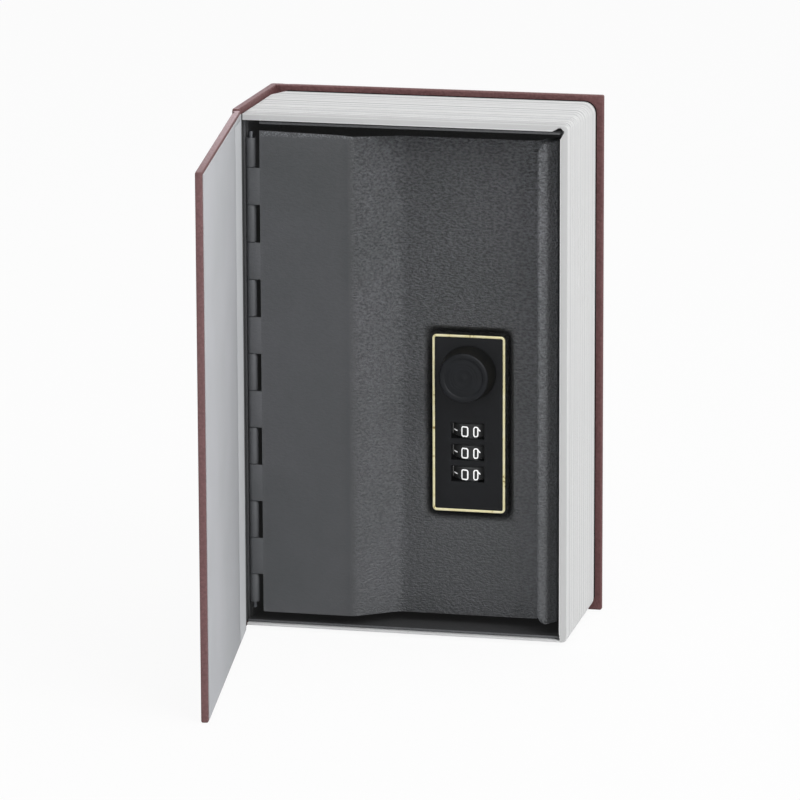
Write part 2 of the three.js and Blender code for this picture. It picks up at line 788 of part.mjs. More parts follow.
function knobShaft() {
  const front = knobBack - knobBoreDepth + stackGap;
  return rodY(lockX, knobZ, shaftRadius, front, nutBack + shaftEnd);
}

function camWasher() {
  const body = rodY(lockX, knobZ, washerRadius, washerFront, washerFront + washerThickness);
  return body.subtract(rodY(lockX, knobZ, shaftRadius + runGap, coverBack, camFront + cutOver));
}

// The cam points up when the lock is open and turns behind the strike to lock.
function lockingCam() {
  const wide = camWidth / 2;
  const hub = rodY(lockX, knobZ, camHubRadius, camFront, camBack);
  const radii = [0, 0, wide - stackGap, wide - stackGap];
  const outline = roundedOutline(lockX - wide, lockX + wide, knobZ, knobZ + camReach, radii);
  const body = hub.add(plate(outline, camFront, camBack));
  return body.subtract(rodY(lockX, knobZ, shaftRadius + runGap, camFront - cutOver, camBack + cutOver));
}

function camNut() {
  const body = rodY(lockX, knobZ, nutRadius, nutFront, nutBack, nutSides);
  return body.subtract(rodY(lockX, knobZ, shaftRadius + runGap, nutFront - cutOver, nutBack + cutOver));
}

function resetLever() {
  const halfStem = leverStemWidth / 2;
  const tallStem = leverStemHeight / 2;
  const halfCap = leverCapWidth / 2;
  const tallCap = leverCapHeight / 2;
  const capFront = coverBack + stackGap;
  const stem = block(
    lockX - halfStem, lockX + halfStem, housingBack + stackGap, capFront + stackGap, leverZ - tallStem, leverZ + tallStem);
  const cap = roundedPlate(
    lockX - halfCap, lockX + halfCap, leverZ - tallCap, leverZ + tallCap, halfStem, capFront, capFront + leverCapThickness);
  return stem.add(cap);
}

// Assembly
const book = new THREE.Group();

function addCover() {
  const flat = [0, 0, 0, 0];
  const board = (x0, x1, y0, y1) => plate(roundedOutline(x0, x1, 0, bookHeight, flat), y0, y1, boardRound);
  let back = board(boardThickness + fitGap, bookWidth, backInner, bookDepth);
  let backPaper = block(blockLeft, blockRight, blockBack, backInner, blockBottom, blockTop);
  for (const [x, z] of boxRivetPlaces()) {
    const radius = boxRivetShank + fitGap;
    const hole = rodY(x, z, radius, blockBack - cutOver, backInner + boxRivetBite + fitGap, smallRoundSteps);
    back = back.subtract(hole);
    backPaper = backPaper.subtract(hole);
  }
  addMesh(book, "back_board", back, leatherette);
  addMesh(book, "back_endpaper", backPaper, paper);
  addMesh(book, "spine_board", block(0, spineInner, coverJointGap, bookDepth, 0, bookHeight), leatherette);
  const clothEnd = endpaperMargin;
  const cloth = rodZ(coverAxisX, 0, jointClothRadius, clothEnd, bookHeight - clothEnd, coarseSteps);
  addMesh(book, "front_joint_cloth", cloth, jointCloth);

  const front = new THREE.Group();
  front.position.set(coverAxisX, 0, 0);
  front.rotation.z = -openAngle;
  addMesh(front, "front_board", board(coverJointGap, coverReach, 0, boardThickness), leatherette);
  const paperLeft = coverJointGap + endpaperMargin;
  const paperRight = coverReach - endpaperMargin;
  const paperTop = bookHeight - endpaperMargin;
  const frontPaper = block(paperLeft, paperRight, endpaperFront, coverInner, endpaperMargin, paperTop);
  addMesh(front, "front_endpaper", frontPaper, paper);
  book.add(front);
}

function addSafe() {
  addMesh(book, "page_block", pageBlock(), pagePlastic);
  addMesh(book, "safe_box", safeBox(), powderCoat);
  addMesh(book, "hinge_pin", hingePin(), brightSteel);
  addMesh(book, "strike", strike(), brightSteel);
  strikeRivetPlaces().forEach(([y, z], i) => {
    addMesh(book, "strike_rivet_" + (i + 1), strikeRivet(y, z), brightSteel);
  });
  boxRivetPlaces().forEach(([x, z], i) => {
    const tip = backInner + boxRivetBite;
    const rivet = headedPin(x, z, boxRivetShank, boxRivetHead, boxRivetHeadHeight, innerBack, tip);
    addMesh(book, "box_rivet_" + (i + 1), rivet, brightSteel);
  });
}

function addDoor() {
  addMesh(book, "door_panel", doorPanel(), powderCoat);
  addMesh(book, "lock_housing", lockHousing(), blackPlastic);
  addMesh(book, "gold_bezel", goldBezel(), goldTrim);
  addMesh(book, "lock_back_cover", lockBackCover(), blackPlastic);
  addMesh(book, "dial_shaft", dialShaft(), brightSteel);
  addMesh(book, "detent_spring", detentSpring(), brightSteel);
  plateScrewHeights().forEach((z, i) => {
    const tip = floorFront - screwLength + fitGap;
    const screw = headedPin(lockX, z, screwShank, screwHead, screwHeadHeight, floorBack, tip);
    addMesh(book, "plate_screw_" + (i + 1), screw, brightSteel);
  });
  coverScrewPlaces().forEach(([x, z], i) => {
    const tip = housingBack - coverScrewLength + fitGap;
    const screw = headedPin(x, z, screwShank, screwHead, screwHeadHeight, coverBack, tip);
    addMesh(book, "lock_cover_screw_" + (i + 1), screw, brightSteel);
  });
}

function addMovingLockParts() {
  dialHeights().forEach((z, i) => {
    addMesh(book, "dial_" + (i + 1), dialWheel(z), dialPlastic);
    addMesh(book, "code_ring_" + (i + 1), codeRing(z), brightSteel);
  });
  addMesh(book, "knob", knob(), blackPlastic);
  addMesh(book, "knob_shaft", knobShaft(), brightSteel);
  addMesh(book, "cam_washer", camWasher(), brightSteel);
  addMesh(book, "locking_cam", lockingCam(), brightSteel);
  addMesh(book, "cam_nut", camNut(), brightSteel);
  addMesh(book, "reset_lever", resetLever(), brightSteel);
}

addCover();
addSafe();
addDoor();
addMovingLockParts();

// The origin is the bottom centre of the whole outline with the front cover open.
const coverFront = coverReach * Math.sin(openAngle) - boardRound * Math.cos(openAngle);
book.position.set(-bookWidth / 2, (coverFront - bookDepth) / 2, 0);

const bookSafe = new THREE.Group();
bookSafe.add(book);

export default bookSafe;
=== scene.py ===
import json
import math

import bmesh
import bpy
from mathutils import Matrix, Vector
from mathutils.geometry import interpolate_bezier


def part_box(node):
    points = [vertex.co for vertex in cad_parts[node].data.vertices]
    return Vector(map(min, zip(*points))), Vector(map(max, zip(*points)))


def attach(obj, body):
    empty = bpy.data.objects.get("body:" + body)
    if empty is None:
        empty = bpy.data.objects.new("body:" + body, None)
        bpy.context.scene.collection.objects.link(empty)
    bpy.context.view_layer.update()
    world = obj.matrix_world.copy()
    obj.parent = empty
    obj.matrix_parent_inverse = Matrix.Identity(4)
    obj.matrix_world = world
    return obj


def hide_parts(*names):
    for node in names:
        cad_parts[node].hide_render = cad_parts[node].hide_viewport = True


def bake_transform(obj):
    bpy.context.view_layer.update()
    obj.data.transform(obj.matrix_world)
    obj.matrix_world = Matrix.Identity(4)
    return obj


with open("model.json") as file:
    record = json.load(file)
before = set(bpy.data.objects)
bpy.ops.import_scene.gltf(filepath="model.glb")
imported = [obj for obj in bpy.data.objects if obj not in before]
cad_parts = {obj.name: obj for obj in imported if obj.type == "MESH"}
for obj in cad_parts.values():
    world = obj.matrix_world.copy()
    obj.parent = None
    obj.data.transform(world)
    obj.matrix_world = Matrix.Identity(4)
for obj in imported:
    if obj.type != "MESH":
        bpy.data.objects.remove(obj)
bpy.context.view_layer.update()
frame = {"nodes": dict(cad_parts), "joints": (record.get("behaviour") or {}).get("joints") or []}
print("frame loaded,", len(frame["nodes"]), "nodes")

mm = 0.001

# Book millimetres: X from the spine's face, Y from the closed front cover's face, Z up from the tail
bookDepth = 55
corner = Vector((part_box("spine_board")[0].x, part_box("back_board")[1].y - bookDepth * mm, 0))


def at(x, y, z):
    return corner + Vector((x, y, z)) * mm


def xAt(x):
    return at(x, 0, 0).x


def yAt(y):
    return at(0, y, 0).y


def zAt(z):
    return at(0, 0, z).z


def span(node):
    # lowest and highest corner of a CAD node in book millimetres
    low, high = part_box(node)
    return (low - corner) / mm, (high - corner) / mm


def middle(node):
    low, high = span(node)
    return (low + high) / 2


def linear(hexColour):
    parts = [int(hexColour[i : i + 2], 16) / 255 for i in (0, 2, 4)]
    return [p / 12.92 if p <= 0.04045 else ((p + 0.055) / 1.055) ** 2.4 for p in parts] + [1.0]


def plug(node, *inputs, **named):
    # inputs go in by order; a capitalised name is a socket, another one a setting of the node;
    # a value that is another node's output becomes a link
    for name, value in named.items():
        if name[0].islower():
            setattr(node, name, value)
    sockets = {socket.name: socket for socket in reversed(list(node.inputs)) if socket.enabled}
    pairs = list(zip(node.inputs, inputs))
    pairs += [(sockets[name.replace("_", " ")], value) for name, value in named.items() if name[0].isupper()]
    for socket, value in pairs:
        if isinstance(value, bpy.types.NodeSocket):
            node.id_data.links.new(value, socket)
        else:
            socket.default_value = value


def addNode(tree, kind, *inputs, **named):
    # gives the new node's first output; kind may end in the node's operation, as in "Math ADD"
    kind, _, operation = kind.partition(" ")
    node = tree.nodes.new("ShaderNode" + kind)
    if operation:
        node.operation = operation
    plug(node, *inputs, **named)
    return next((socket for socket in node.outputs if socket.enabled), None)


def setStops(tone, stops):
    # colour stops of (place, hex colour)
    elements = tone.node.color_ramp.elements
    while len(elements) < len(stops):
        elements.new(0.5)
    for element, (place, colour) in zip(elements, stops):
        element.position = place
        element.color = linear(colour)
    return tone


def setCurve(value, places):
    # a curve through (place, height) points with straight stretches between them
    mapping = value.node.mapping
    points = mapping.curves[0].points
    while len(points) < len(places):
        points.new(0.5, 0.5)
    for point, place in zip(points, places):
        point.location = place
        point.handle_type = "VECTOR"
    mapping.update()
    return value


def mottle(tree, place, scale, detail, dark, light, start=0.3, end=0.7):
    # a cloudy pattern, and the colour that it gives between two tones
    cloud = addNode(tree, "TexNoise", place, Scale=scale, Detail=detail)
    return cloud, setStops(addNode(tree, "ValToRGB", cloud), [(start, dark), (end, light)])


def emptyTree(owner):
    owner.use_nodes = True
    owner.node_tree.nodes.clear()
    return owner.node_tree


def newMaterial(name):
    material = bpy.data.materials.new(name)
    tree = emptyTree(material)
    shader = tree.nodes.new("ShaderNodeBsdfPrincipled")
    addNode(tree, "OutputMaterial", shader.outputs["BSDF"])
    return material, tree, shader, addNode(tree, "TexCoord").node.outputs["Object"]


# camera, light and floor

view = {
    "azimuth": math.radians(13.09),
    "elevation": math.radians(12.70),
    "roll": math.radians(0.21),
    "distance": 1958,
    "aim": (52.1, 25, 77.6),
    "focalPixels": 5742,
    "imagePixels": 800,
    "sensor": 36,
    "farthest": 20,  # metres
}


def addCamera():
    az, el, roll = view["azimuth"], view["elevation"], view["roll"]
    back = Vector((math.sin(az) * math.cos(el), -math.cos(az) * math.cos(el), math.sin(el)))
    right = Vector((math.cos(az), math.sin(az), 0))
    up = right.cross(-back)
    turnedRight = right * math.cos(roll) - up * math.sin(roll)
    turnedUp = right * math.sin(roll) + up * math.cos(roll)
    data = bpy.data.cameras.new("camera")
    data.sensor_width = view["sensor"]
    data.lens = view["focalPixels"] / view["imagePixels"] * data.sensor_width
    data.clip_end = view["farthest"]
    camera = bpy.data.objects.new("camera", data)
    bpy.context.scene.collection.objects.link(camera)
    place = at(*view["aim"]) + back * view["distance"] * mm
    turn = Matrix((turnedRight, turnedUp, back)).transposed().to_4x4()
    camera.matrix_world = Matrix.Translation(place) @ turn
    bpy.context.scene.camera = camera


lamps = {
    # name: place, side in metres, power
    "key": ((1400, -1000, 1350), 1.4, 22.4),
    "fill": ((-950, -1700, 420), 1.5, 4.2),
    "top": ((200, 100, 1900), 1.6, 10.9),
}
lampAim = (50, 20, 90)


def addLamps():
    aim = at(*lampAim)
    for name, (place, side, power) in lamps.items():
        data = bpy.data.lights.new(name, "AREA")
        data.shape = "SQUARE"
        data.size = side
        data.energy = power
        lamp = bpy.data.objects.new(name, data)
        bpy.context.scene.collection.objects.link(lamp)
        lamp.location = at(*place)
        lamp.rotation_euler = (aim - lamp.location).to_track_quat("-Z", "Y").to_euler()


backdrop = {"light": 0.3, "white": 1.0, "floorGlow": 0.93, "floorSize": 3, "floorDrop": 0.0001}
white = (1, 1, 1, 1)


def addWorld():
    # dim light on the book, but white wherever the camera, glass or a shiny face sees it
    studio = bpy.data.worlds.new("studio")
    bpy.context.scene.world = studio
    tree = emptyTree(studio)
    rays = addNode(tree, "LightPath").node.outputs
    seen = addNode(tree, "Math MAXIMUM", rays["Is Camera Ray"], rays["Is Transmission Ray"])
    seen = addNode(tree, "Math MAXIMUM", seen, rays["Is Glossy Ray"])
    light = addNode(tree, "Background", white, backdrop["light"])
    shown = addNode(tree, "Background", white, backdrop["white"])
    addNode(tree, "OutputWorld", addNode(tree, "MixShader", seen, light, shown))


def addFloor():
    # pale painted studio floor: white where the camera sees it, and it keeps the book's shadow
    material, tree, shader, place = newMaterial("white_painted_floor")
    grain = addNode(tree, "TexNoise", place, Scale=60.0, Detail=3.0)
    plug(shader, Base_Color=addNode(tree, "MapRange", grain, 0, 1, 0.86, 0.9), Roughness=0.7)
    glow = addNode(tree, "Emission", white, 1.0)
    seen = addNode(tree, "LightPath").node.outputs["Is Camera Ray"]
    share = addNode(tree, "Math MULTIPLY", seen, backdrop["floorGlow"])
    coated = shader.outputs["BSDF"]
    plug(coated.links[0].to_node, addNode(tree, "MixShader", share, coated, glow))
    bm = bmesh.new()
    bmesh.ops.create_grid(bm, x_segments=1, y_segments=1, size=backdrop["floorSize"])
    mesh = bpy.data.meshes.new("floor")
    bm.to_mesh(mesh)
    bm.free()
    floor = bpy.data.objects.new("floor", mesh)
    bpy.context.scene.collection.objects.link(floor)
    floor.location = (0, 0, -backdrop["floorDrop"])
    mesh.materials.append(material)


addCamera()
addLamps()
addWorld()
addFloor()
print("camera and studio set")


# materials

# places that the finishes follow
plateLow, plateHigh = span("gold_bezel")
blockLow, blockHigh = span("page_block")
coat = {
    "smoothTo": 39.5,  # the flat by the hinge, in X
    "peelFrom": 42.5,
    "lumps": 1250.0,
    "drawn": (0.62, 1.0, 1.2),
    "grit": 3200.0,
    "relief": 0.0016,
    "specksFrom": 170.6,
    "specksFull": 171.6,
    # how light the coat is painted across the door, on a width of 120 mm: painted light and shade,
    # bright on the slope and the lip's lit strip, dark on the lip's shaded flank and in the recess
    "width": 120,
    "across": [
        (0, 1.06), (0.07, 1.06), (0.085, 0.93), (0.19, 0.92), (0.3, 0.88), (0.32, 0.8), (0.335, 0.75),
        (0.343, 0.79), (0.352, 0.94), (0.38, 1.04), (0.448, 1.02), (0.46, 0.97), (0.482, 0.77),
        (0.72, 0.79), (0.75, 0.82), (0.804, 0.96), (0.83, 1.28), (0.85, 1.35), (0.872, 1.5),
        (0.883, 1.2), (0.8935, 1.05), (0.8965, 0.66), (0.9035, 0.75), (0.908, 1.1), (0.912, 1.6),
        (0.917, 1.75), (0.921, 1), (1, 1)],
}


def powderCoat():
    # sheet steel with a baked polyester powder coat: dark grey and satin, smooth by the hinge,
    # with a coarser orange peel where the sheet is pressed, most of all towards the head
    material, tree, shader, place = newMaterial("powder_coated_sheet_steel")
    x, _, z = addNode(tree, "SeparateXYZ", place).node.outputs
    # lumps 1.2 mm wide and 0.6 mm high: the peel has run a little across the sheet
    drawn = addNode(tree, "VectorMath MULTIPLY", place, coat["drawn"])
    lumps = addNode(tree, "TexNoise", drawn, Scale=coat["lumps"], Detail=2.0, Roughness=0.6)
    grit = addNode(tree, "TexNoise", place, Scale=coat["grit"], Detail=1.0)
    coarser = addNode(tree, "MapRange", x, xAt(coat["smoothTo"]), xAt(coat["peelFrom"]), 0.12, 1.0)
    towardsHead = addNode(tree, "MapRange", z, zAt(20), zAt(165), 0.5, 1.0)
    strength = addNode(tree, "Math MULTIPLY", coarser, towardsHead)
    height = addNode(tree, "Math MULTIPLY_ADD", grit, 0.3, lumps)
    bump = addNode(tree, "Bump", Height=height, Strength=strength, Distance=coat["relief"])
    _, tone = mottle(tree, place, 45.0, 3.0, "535557", "5a5b5e")
    along = addNode(tree, "MapRange", x, xAt(0), xAt(coat["width"]), 0.0, 1.0)
    # painted light and shade across the door
    across = setCurve(addNode(tree, "FloatCurve", Value=along), coat["across"])
    # the lip is darker towards the tail
    onLip = addNode(tree, "MapRange", x, xAt(103), xAt(104.5), 0.0, 1.0)
    towardsTail = addNode(tree, "MapRange", z, zAt(150), zAt(15), 0.0, 0.2)
    lipFade = addNode(tree, "Math MULTIPLY", onLip, towardsTail)
    # painted shade: the coat is darker down in the lock's pocket
    beside = []
    for axis, low, high in ((x, xAt(plateLow.x), xAt(plateHigh.x)), (z, zAt(plateLow.z), zAt(plateHigh.z))):
        fromMiddle = addNode(tree, "Math ABSOLUTE", addNode(tree, "Math SUBTRACT", axis, (low + high) / 2))
        beside.append(addNode(tree, "Math SUBTRACT", fromMiddle, (high - low) / 2))
    # painted shade round the lock's plate
    pocket = addNode(tree, "MapRange", addNode(tree, "Math MAXIMUM", *beside), 0.0012, 0.0036, 0.28, 1.0)
    pits = addNode(tree, "MapRange", lumps, 0.36, 0.64, -0.4, 0.4)
    speckled = addNode(tree, "Math MULTIPLY_ADD", pits, strength, 1.0)
    # pale specks along the head: painted glints on the top edge, and powder built up there
    atHead = addNode(tree, "MapRange", z, zAt(coat["specksFrom"]), zAt(coat["specksFull"]), 0.0, 1.0)
    headSpecks = addNode(tree, "Math MULTIPLY", atHead, addNode(tree, "MapRange", grit, 0.5, 0.62, 0.0, 1.5))
    # rough relief shades itself, so the colour is lifted with it
    lift = addNode(tree, "Math MULTIPLY_ADD", addNode(tree, "Math MAXIMUM", strength, 0.5), 0.62, 0.72)
    level = addNode(tree, "Math SUBTRACT", across, lipFade)
    for factor in (pocket, lift):
        level = addNode(tree, "Math MULTIPLY", level, factor)
    level = addNode(tree, "Math MULTIPLY_ADD", level, speckled, headSpecks)
    shade = addNode(tree, "VectorMath SCALE", tone, Scale=level)
    rough = addNode(tree, "MapRange", lumps, 0.0, 1.0, 0.36, 0.6)
    plug(shader, Base_Color=shade, Roughness=rough, Normal=bump, IOR=1.5)
    return material


def trayCoat():
    # same powder coat inside the box: painted shade on the floor, painted light above, a paler mouth edge
    material, tree, shader, place = newMaterial("powder_coated_steel_box")
    _, y, z = addNode(tree, "SeparateXYZ", place).node.outputs
    lumps = addNode(tree, "TexNoise", place, Scale=1500.0, Detail=2.0, Roughness=0.6)
    # painted shade on the floor, painted light on the walls and ceiling above it
    floorShade = addNode(tree, "MapRange", z, zAt(4), zAt(14), 0.3, 1.15)
    edgeShade = addNode(tree, "MapRange", y, yAt(4.75), yAt(5.2), 1.3, 0.0)
    tone = setStops(addNode(tree, "ValToRGB", lumps), [(0.3, "4d4e50"), (0.7, "57585a")])
    level = addNode(tree, "Math MAXIMUM", floorShade, edgeShade)
    shade = addNode(tree, "VectorMath SCALE", tone, Scale=level)
    bump = addNode(tree, "Bump", Height=lumps, Strength=0.4, Distance=0.0003)
    plug(shader, Base_Color=shade, Roughness=0.55, Normal=bump)
    # a faint glow: painted light that lifts the box's shadows
    plug(shader, Emission_Color=white, Emission_Strength=0.006)
    return material


def leatherette(name, low, high, wearAndSheenTone):
    # paper backed leatherette: embossed with a fine pebble grain, dull brown, paler at the free edge from
    # wear and a painted sheen, with a painted sheen on the head's upward faces by the joint
    material, tree, shader, place = newMaterial(name)
    x, y, _ = addNode(tree, "SeparateXYZ", place).node.outputs
    grain = addNode(tree, "TexVoronoi", place, feature="SMOOTH_F1", Scale=1300.0)  # 0.8 mm pebbles
    fine = addNode(tree, "TexNoise", place, Scale=2600.0, Detail=3.0)
    height = addNode(tree, "Math MULTIPLY_ADD", fine, 0.5, grain)
    bump = addNode(tree, "Bump", Height=height, Strength=0.7, Distance=0.0003)
    _, tone = mottle(tree, place, 70.0, 4.0, low, high)
    # the free edge: wear and a painted sheen
    freeEdgeWearAndSheen = addNode(tree, "MapRange", y, yAt(-109), yAt(-112.5), 0.0, 0.07)
    # upward faces at the head by the joint get a painted sheen
    normal = addNode(tree, "NewGeometry").node.outputs["Normal"]
    upward = addNode(tree, "SeparateXYZ", normal).node.outputs["Z"]
    headSheen = addNode(
        tree, "Math MULTIPLY", addNode(tree, "MapRange", upward, 0.6, 0.95, 0.0, 1.0),
        addNode(tree, "MapRange", y, yAt(6), yAt(-4), 0.3, 1.0))
    fromJoint = addNode(tree, "MapRange", x, xAt(26), xAt(1), 0.0, 1.0)
    # wear here is the worn free edge and the painted sheen together
    wear = addNode(tree, "Math MAXIMUM", freeEdgeWearAndSheen, addNode(tree, "Math MULTIPLY", headSheen, fromJoint))
    colour = addNode(tree, "Mix", data_type="RGBA", Factor=wear, A=tone, B=linear(wearAndSheenTone))
    # painted shade in the grain's crevices, painted light on its pebbles
    creaseShade = addNode(tree, "MapRange", grain, 0.1, 0.7, 1.1, 0.86)
    shade = addNode(tree, "VectorMath SCALE", colour, Scale=creaseShade)
    rough = addNode(tree, "MapRange", grain, 0.0, 1.0, 0.5, 0.72)
    plug(shader, Base_Color=shade, Roughness=rough, Normal=bump, IOR=1.5)
    return material


def endpaperStock(name, low, high):
    # uncoated endpaper, glued down: pale grey with a faint fibre mottle, and painted shade down in the
    # gutter
    material, tree, shader, place = newMaterial(name)
    x, y, _ = addNode(tree, "SeparateXYZ", place).node.outputs
    fibre = addNode(tree, "TexNoise", place, Scale=700.0, Detail=5.0, Roughness=0.65)
    _, tone = mottle(tree, place, 30.0, 2.0, low, high, 0.25, 0.75)
    # painted shade, darker down in the gutter
    gutterShade = addNode(
        tree, "Math MAXIMUM", addNode(tree, "MapRange", y, yAt(2.4), yAt(4.2), 1.0, 0.1),
        addNode(tree, "MapRange", x, xAt(5), xAt(6), 0.0, 1.0))
    shade = addNode(tree, "VectorMath SCALE", tone, Scale=gutterShade)
    bump = addNode(tree, "Bump", Height=fibre, Strength=0.15, Distance=0.0001)
    plug(shader, Base_Color=shade, Roughness=0.85, Normal=bump)
    return material


moulding = {
    "lines": 900.0,
    "seamStart": 2.45,  # the painted shadow in the seam beside the back board, from the block's back
    "seamEnd": 2.35,
    "headFront": 3.4,
    "headFrontFade": 0.6,
    "mouthRight": 2.4,
    "mouthTop": 2.3,
}


def pageMoulding():
    # injection moulded white plastic: page lines of uneven strength run round its edges, a painted shadow
    # lies in the seam beside the back board, and the rim round the mouth has painted shade
    material, tree, shader, place = newMaterial("white_moulded_page_block")
    x, y, z = addNode(tree, "SeparateXYZ", place).node.outputs
    # page lines about 1 mm apart
    lines = addNode(
        tree, "TexNoise", noise_dimensions="1D", W=y, Scale=moulding["lines"], Detail=3.0, Roughness=0.7)
    normal = addNode(tree, "NewGeometry").node.outputs["Normal"]
    _, faceY, faceZ = addNode(tree, "SeparateXYZ", normal).node.outputs
    boldness = addNode(tree, "MapRange", faceZ, 0.3, 0.9, 0.55, 1.35)
    usual = 0.53
    bold = addNode(tree, "Math MULTIPLY_ADD", addNode(tree, "Math SUBTRACT", lines, usual), boldness, usual)
    tone = setStops(addNode(tree, "ValToRGB", bold), [(0.36, "b6b7b9"), (0.45, "dfe0e0"), (0.62, "f3f3f3")])
    seamStart, seamEnd = blockHigh.y - moulding["seamStart"], blockHigh.y - moulding["seamEnd"]
    # a painted shadow in the seam beside the back board
    seam = addNode(tree, "MapRange", y, yAt(seamStart), yAt(seamEnd), 1.0, 0.012)
    # the rim faces forwards and gets painted shade; the front of the head gets more, and the mouth's thin
    # edge a painted highlight
    rimShade = addNode(tree, "MapRange", faceY, -0.95, -0.5, 0.78, 1.0)
    fadeFrom = blockLow.y + moulding["headFront"]
    fadeTo = fadeFrom - moulding["headFrontFade"]
    nearFront = addNode(tree, "MapRange", y, yAt(fadeFrom), yAt(fadeTo), 0.0, 1.0)
    onHead = addNode(tree, "MapRange", faceZ, 0.5, 0.9, 0.0, 0.24)
    rimShade = addNode(tree, "Math SUBTRACT", rimShade, addNode(tree, "Math MULTIPLY", onHead, nearFront))
    fromMouth = addNode(
        tree, "Math MAXIMUM", addNode(tree, "Math SUBTRACT", x, xAt(blockHigh.x - moulding["mouthRight"])),
        addNode(tree, "Math SUBTRACT", z, zAt(blockHigh.z - moulding["mouthTop"])))
    # a painted highlight on the mouth's thin edge
    thinEdgeHighlight = addNode(tree, "MapRange", fromMouth, 0.0003, 0.00045, 1.22, 1.0)
    rimShade = addNode(tree, "Math MINIMUM", addNode(tree, "Math MULTIPLY", rimShade, thinEdgeHighlight), 1.0)
    level = addNode(tree, "Math MULTIPLY", seam, rimShade)
    shade = addNode(tree, "VectorMath SCALE", tone, Scale=level)
    bump = addNode(tree, "Bump", Height=lines, Strength=0.6, Distance=0.0003)
    cloud = addNode(tree, "TexNoise", place, Scale=60.0, Detail=3.0)
    rough = addNode(tree, "MapRange", cloud, 0.0, 1.0, 0.5, 0.65)
    plug(shader, Base_Color=shade, Roughness=rough, Normal=bump, IOR=1.49)
    # the painted shadow in the seam takes its shine away too
    plug(shader, Specular_IOR_Level=addNode(tree, "Math MULTIPLY", seam, 0.5))
    return material


def platedSteel(name, dark, light, low, high):
    # steel, zinc plated and barrel tumbled: cloudy grey with a dull shine
    material, tree, shader, place = newMaterial(name)
    cloud, tone = mottle(tree, place, 400.0, 4.0, dark, light)
    scratch = addNode(tree, "TexNoise", place, Scale=1800.0, Detail=2.0)
    rough = addNode(tree, "MapRange", cloud, 0.0, 1.0, low, high)
    bump = addNode(tree, "Bump", Height=scratch, Strength=0.1, Distance=0.00005)
    plug(shader, Base_Color=tone, Roughness=rough, Normal=bump, Metallic=1.0)
    return material


def blackPlastic(name, dark, light, low, high, paintedGlow=0.0):
    # ABS moulded against a fine spark eroded tool: satin black
    material, tree, shader, place = newMaterial(name)
    spark = addNode(tree, "TexNoise", place, Scale=2600.0, Detail=3.0)
    _, tone = mottle(tree, place, 120.0, 2.0, dark, light)
    bump = addNode(tree, "Bump", Height=spark, Strength=0.12, Distance=0.00008)
    rough = addNode(tree, "MapRange", spark, 0.0, 1.0, low, high)
    plug(shader, Base_Color=tone, Roughness=rough, Normal=bump, Specular_IOR_Level=0.24)
    # a faint glow, painted light that lifts the black's shadows
    plug(shader, Emission_Color=white, Emission_Strength=paintedGlow)
    return material


def goldTrim():
    # hot stamped gold foil on the raised rim: bright, a little worn along its edge
    material, tree, shader, place = newMaterial("gold_foil_rim")
    wear = addNode(tree, "TexNoise", place, Scale=500.0, Detail=4.0)
    tone = setStops(addNode(tree, "ValToRGB", wear), [(0.28, "9c8448"), (0.36, "f6edb8"), (0.7, "fff8d2")])
    rough = addNode(tree, "MapRange", wear, 0.0, 1.0, 0.45, 0.3)
    plug(shader, Base_Color=tone, Roughness=rough, Metallic=0.6)
    return material


def figureInk():
    # pad printed white ink, slightly uneven, with a glow: painted light on the figures down in the windows
    material, tree, shader, place = newMaterial("white_printed_figures")
    _, tone = mottle(tree, place, 3000.0, 2.0, "e9eaea", "f9f9f9")
    plug(shader, Base_Color=tone, Roughness=0.55, Emission_Color=tone, Emission_Strength=0.5)
    return material


finish = {
    "coat": powderCoat(),
    "tray": trayCoat(),
    "cover": leatherette("brown_leatherette_cover", "674141", "6f4848", "c7adb2"),
    "joint": leatherette("brown_leatherette_joint", "613e3e", "684444", "c7adb2"),
    "paper": endpaperStock("grey_uncoated_endpaper", "c1c3c6", "c9cace"),
    "strip": endpaperStock("pale_paper_hinge_strip", "d6d8db", "dee0e2"),
    "pages": pageMoulding(),
    "steel": platedSteel("zinc_plated_steel", "9c9fa3", "b9bbbd", 0.28, 0.45),
    "pin": platedSteel("phosphated_steel_pin", "5a5c5f", "6b6d70", 0.42, 0.58),
    # the plate's faint glow is painted light
    "plate": blackPlastic("black_satin_abs_lock", "0b0d10", "0f1115", 0.5, 0.64, 0.003),
    "knob": blackPlastic("black_moulded_abs_knob", "131518", "181a1e", 0.4, 0.55),
    # the knob's side is painted darker than the knob: painted shade
    "knobSide": blackPlastic("black_knob_side_painted_shade", "050506", "08090a", 0.6, 0.75),
    # the wheels' faint glow is painted light
    "dial": blackPlastic("black_moulded_dial", "252627", "303132", 0.3, 0.45, 0.007),
    # the wheels' chamfers are painted paler: a painted highlight
    "dialEdge": blackPlastic("dial_edge_painted_highlight", "4a4b4c", "6b6c6d", 0.3, 0.45),
    "gold": goldTrim(),
    "ink": figureInk(),
}
print(len(finish), "materials made")


# mesh helpers


def finishPiece(name, bm, finishName, body, *replaced, smooth, blendTo=None):
    # smooth is the angle in degrees over which an edge stays sharp; blendTo is (body, start, end), but only
    # whether it is given is used: such a piece joins no body
    mesh = bpy.data.meshes.new(name)
    for face in bm.faces:
        face.smooth = True
    for edge in bm.edges:
        edge.smooth = len(edge.link_faces) == 2 and edge.calc_face_angle(0) < math.radians(smooth)
    bm.to_mesh(mesh)
    bm.free()
    piece = bpy.data.objects.new(name, mesh)
    bpy.context.scene.collection.objects.link(piece)
    mesh.materials.append(finish[finishName])
    if blendTo:
        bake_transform(piece)
    else:
        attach(piece, body)
    if replaced:
        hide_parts(*replaced)
    return piece


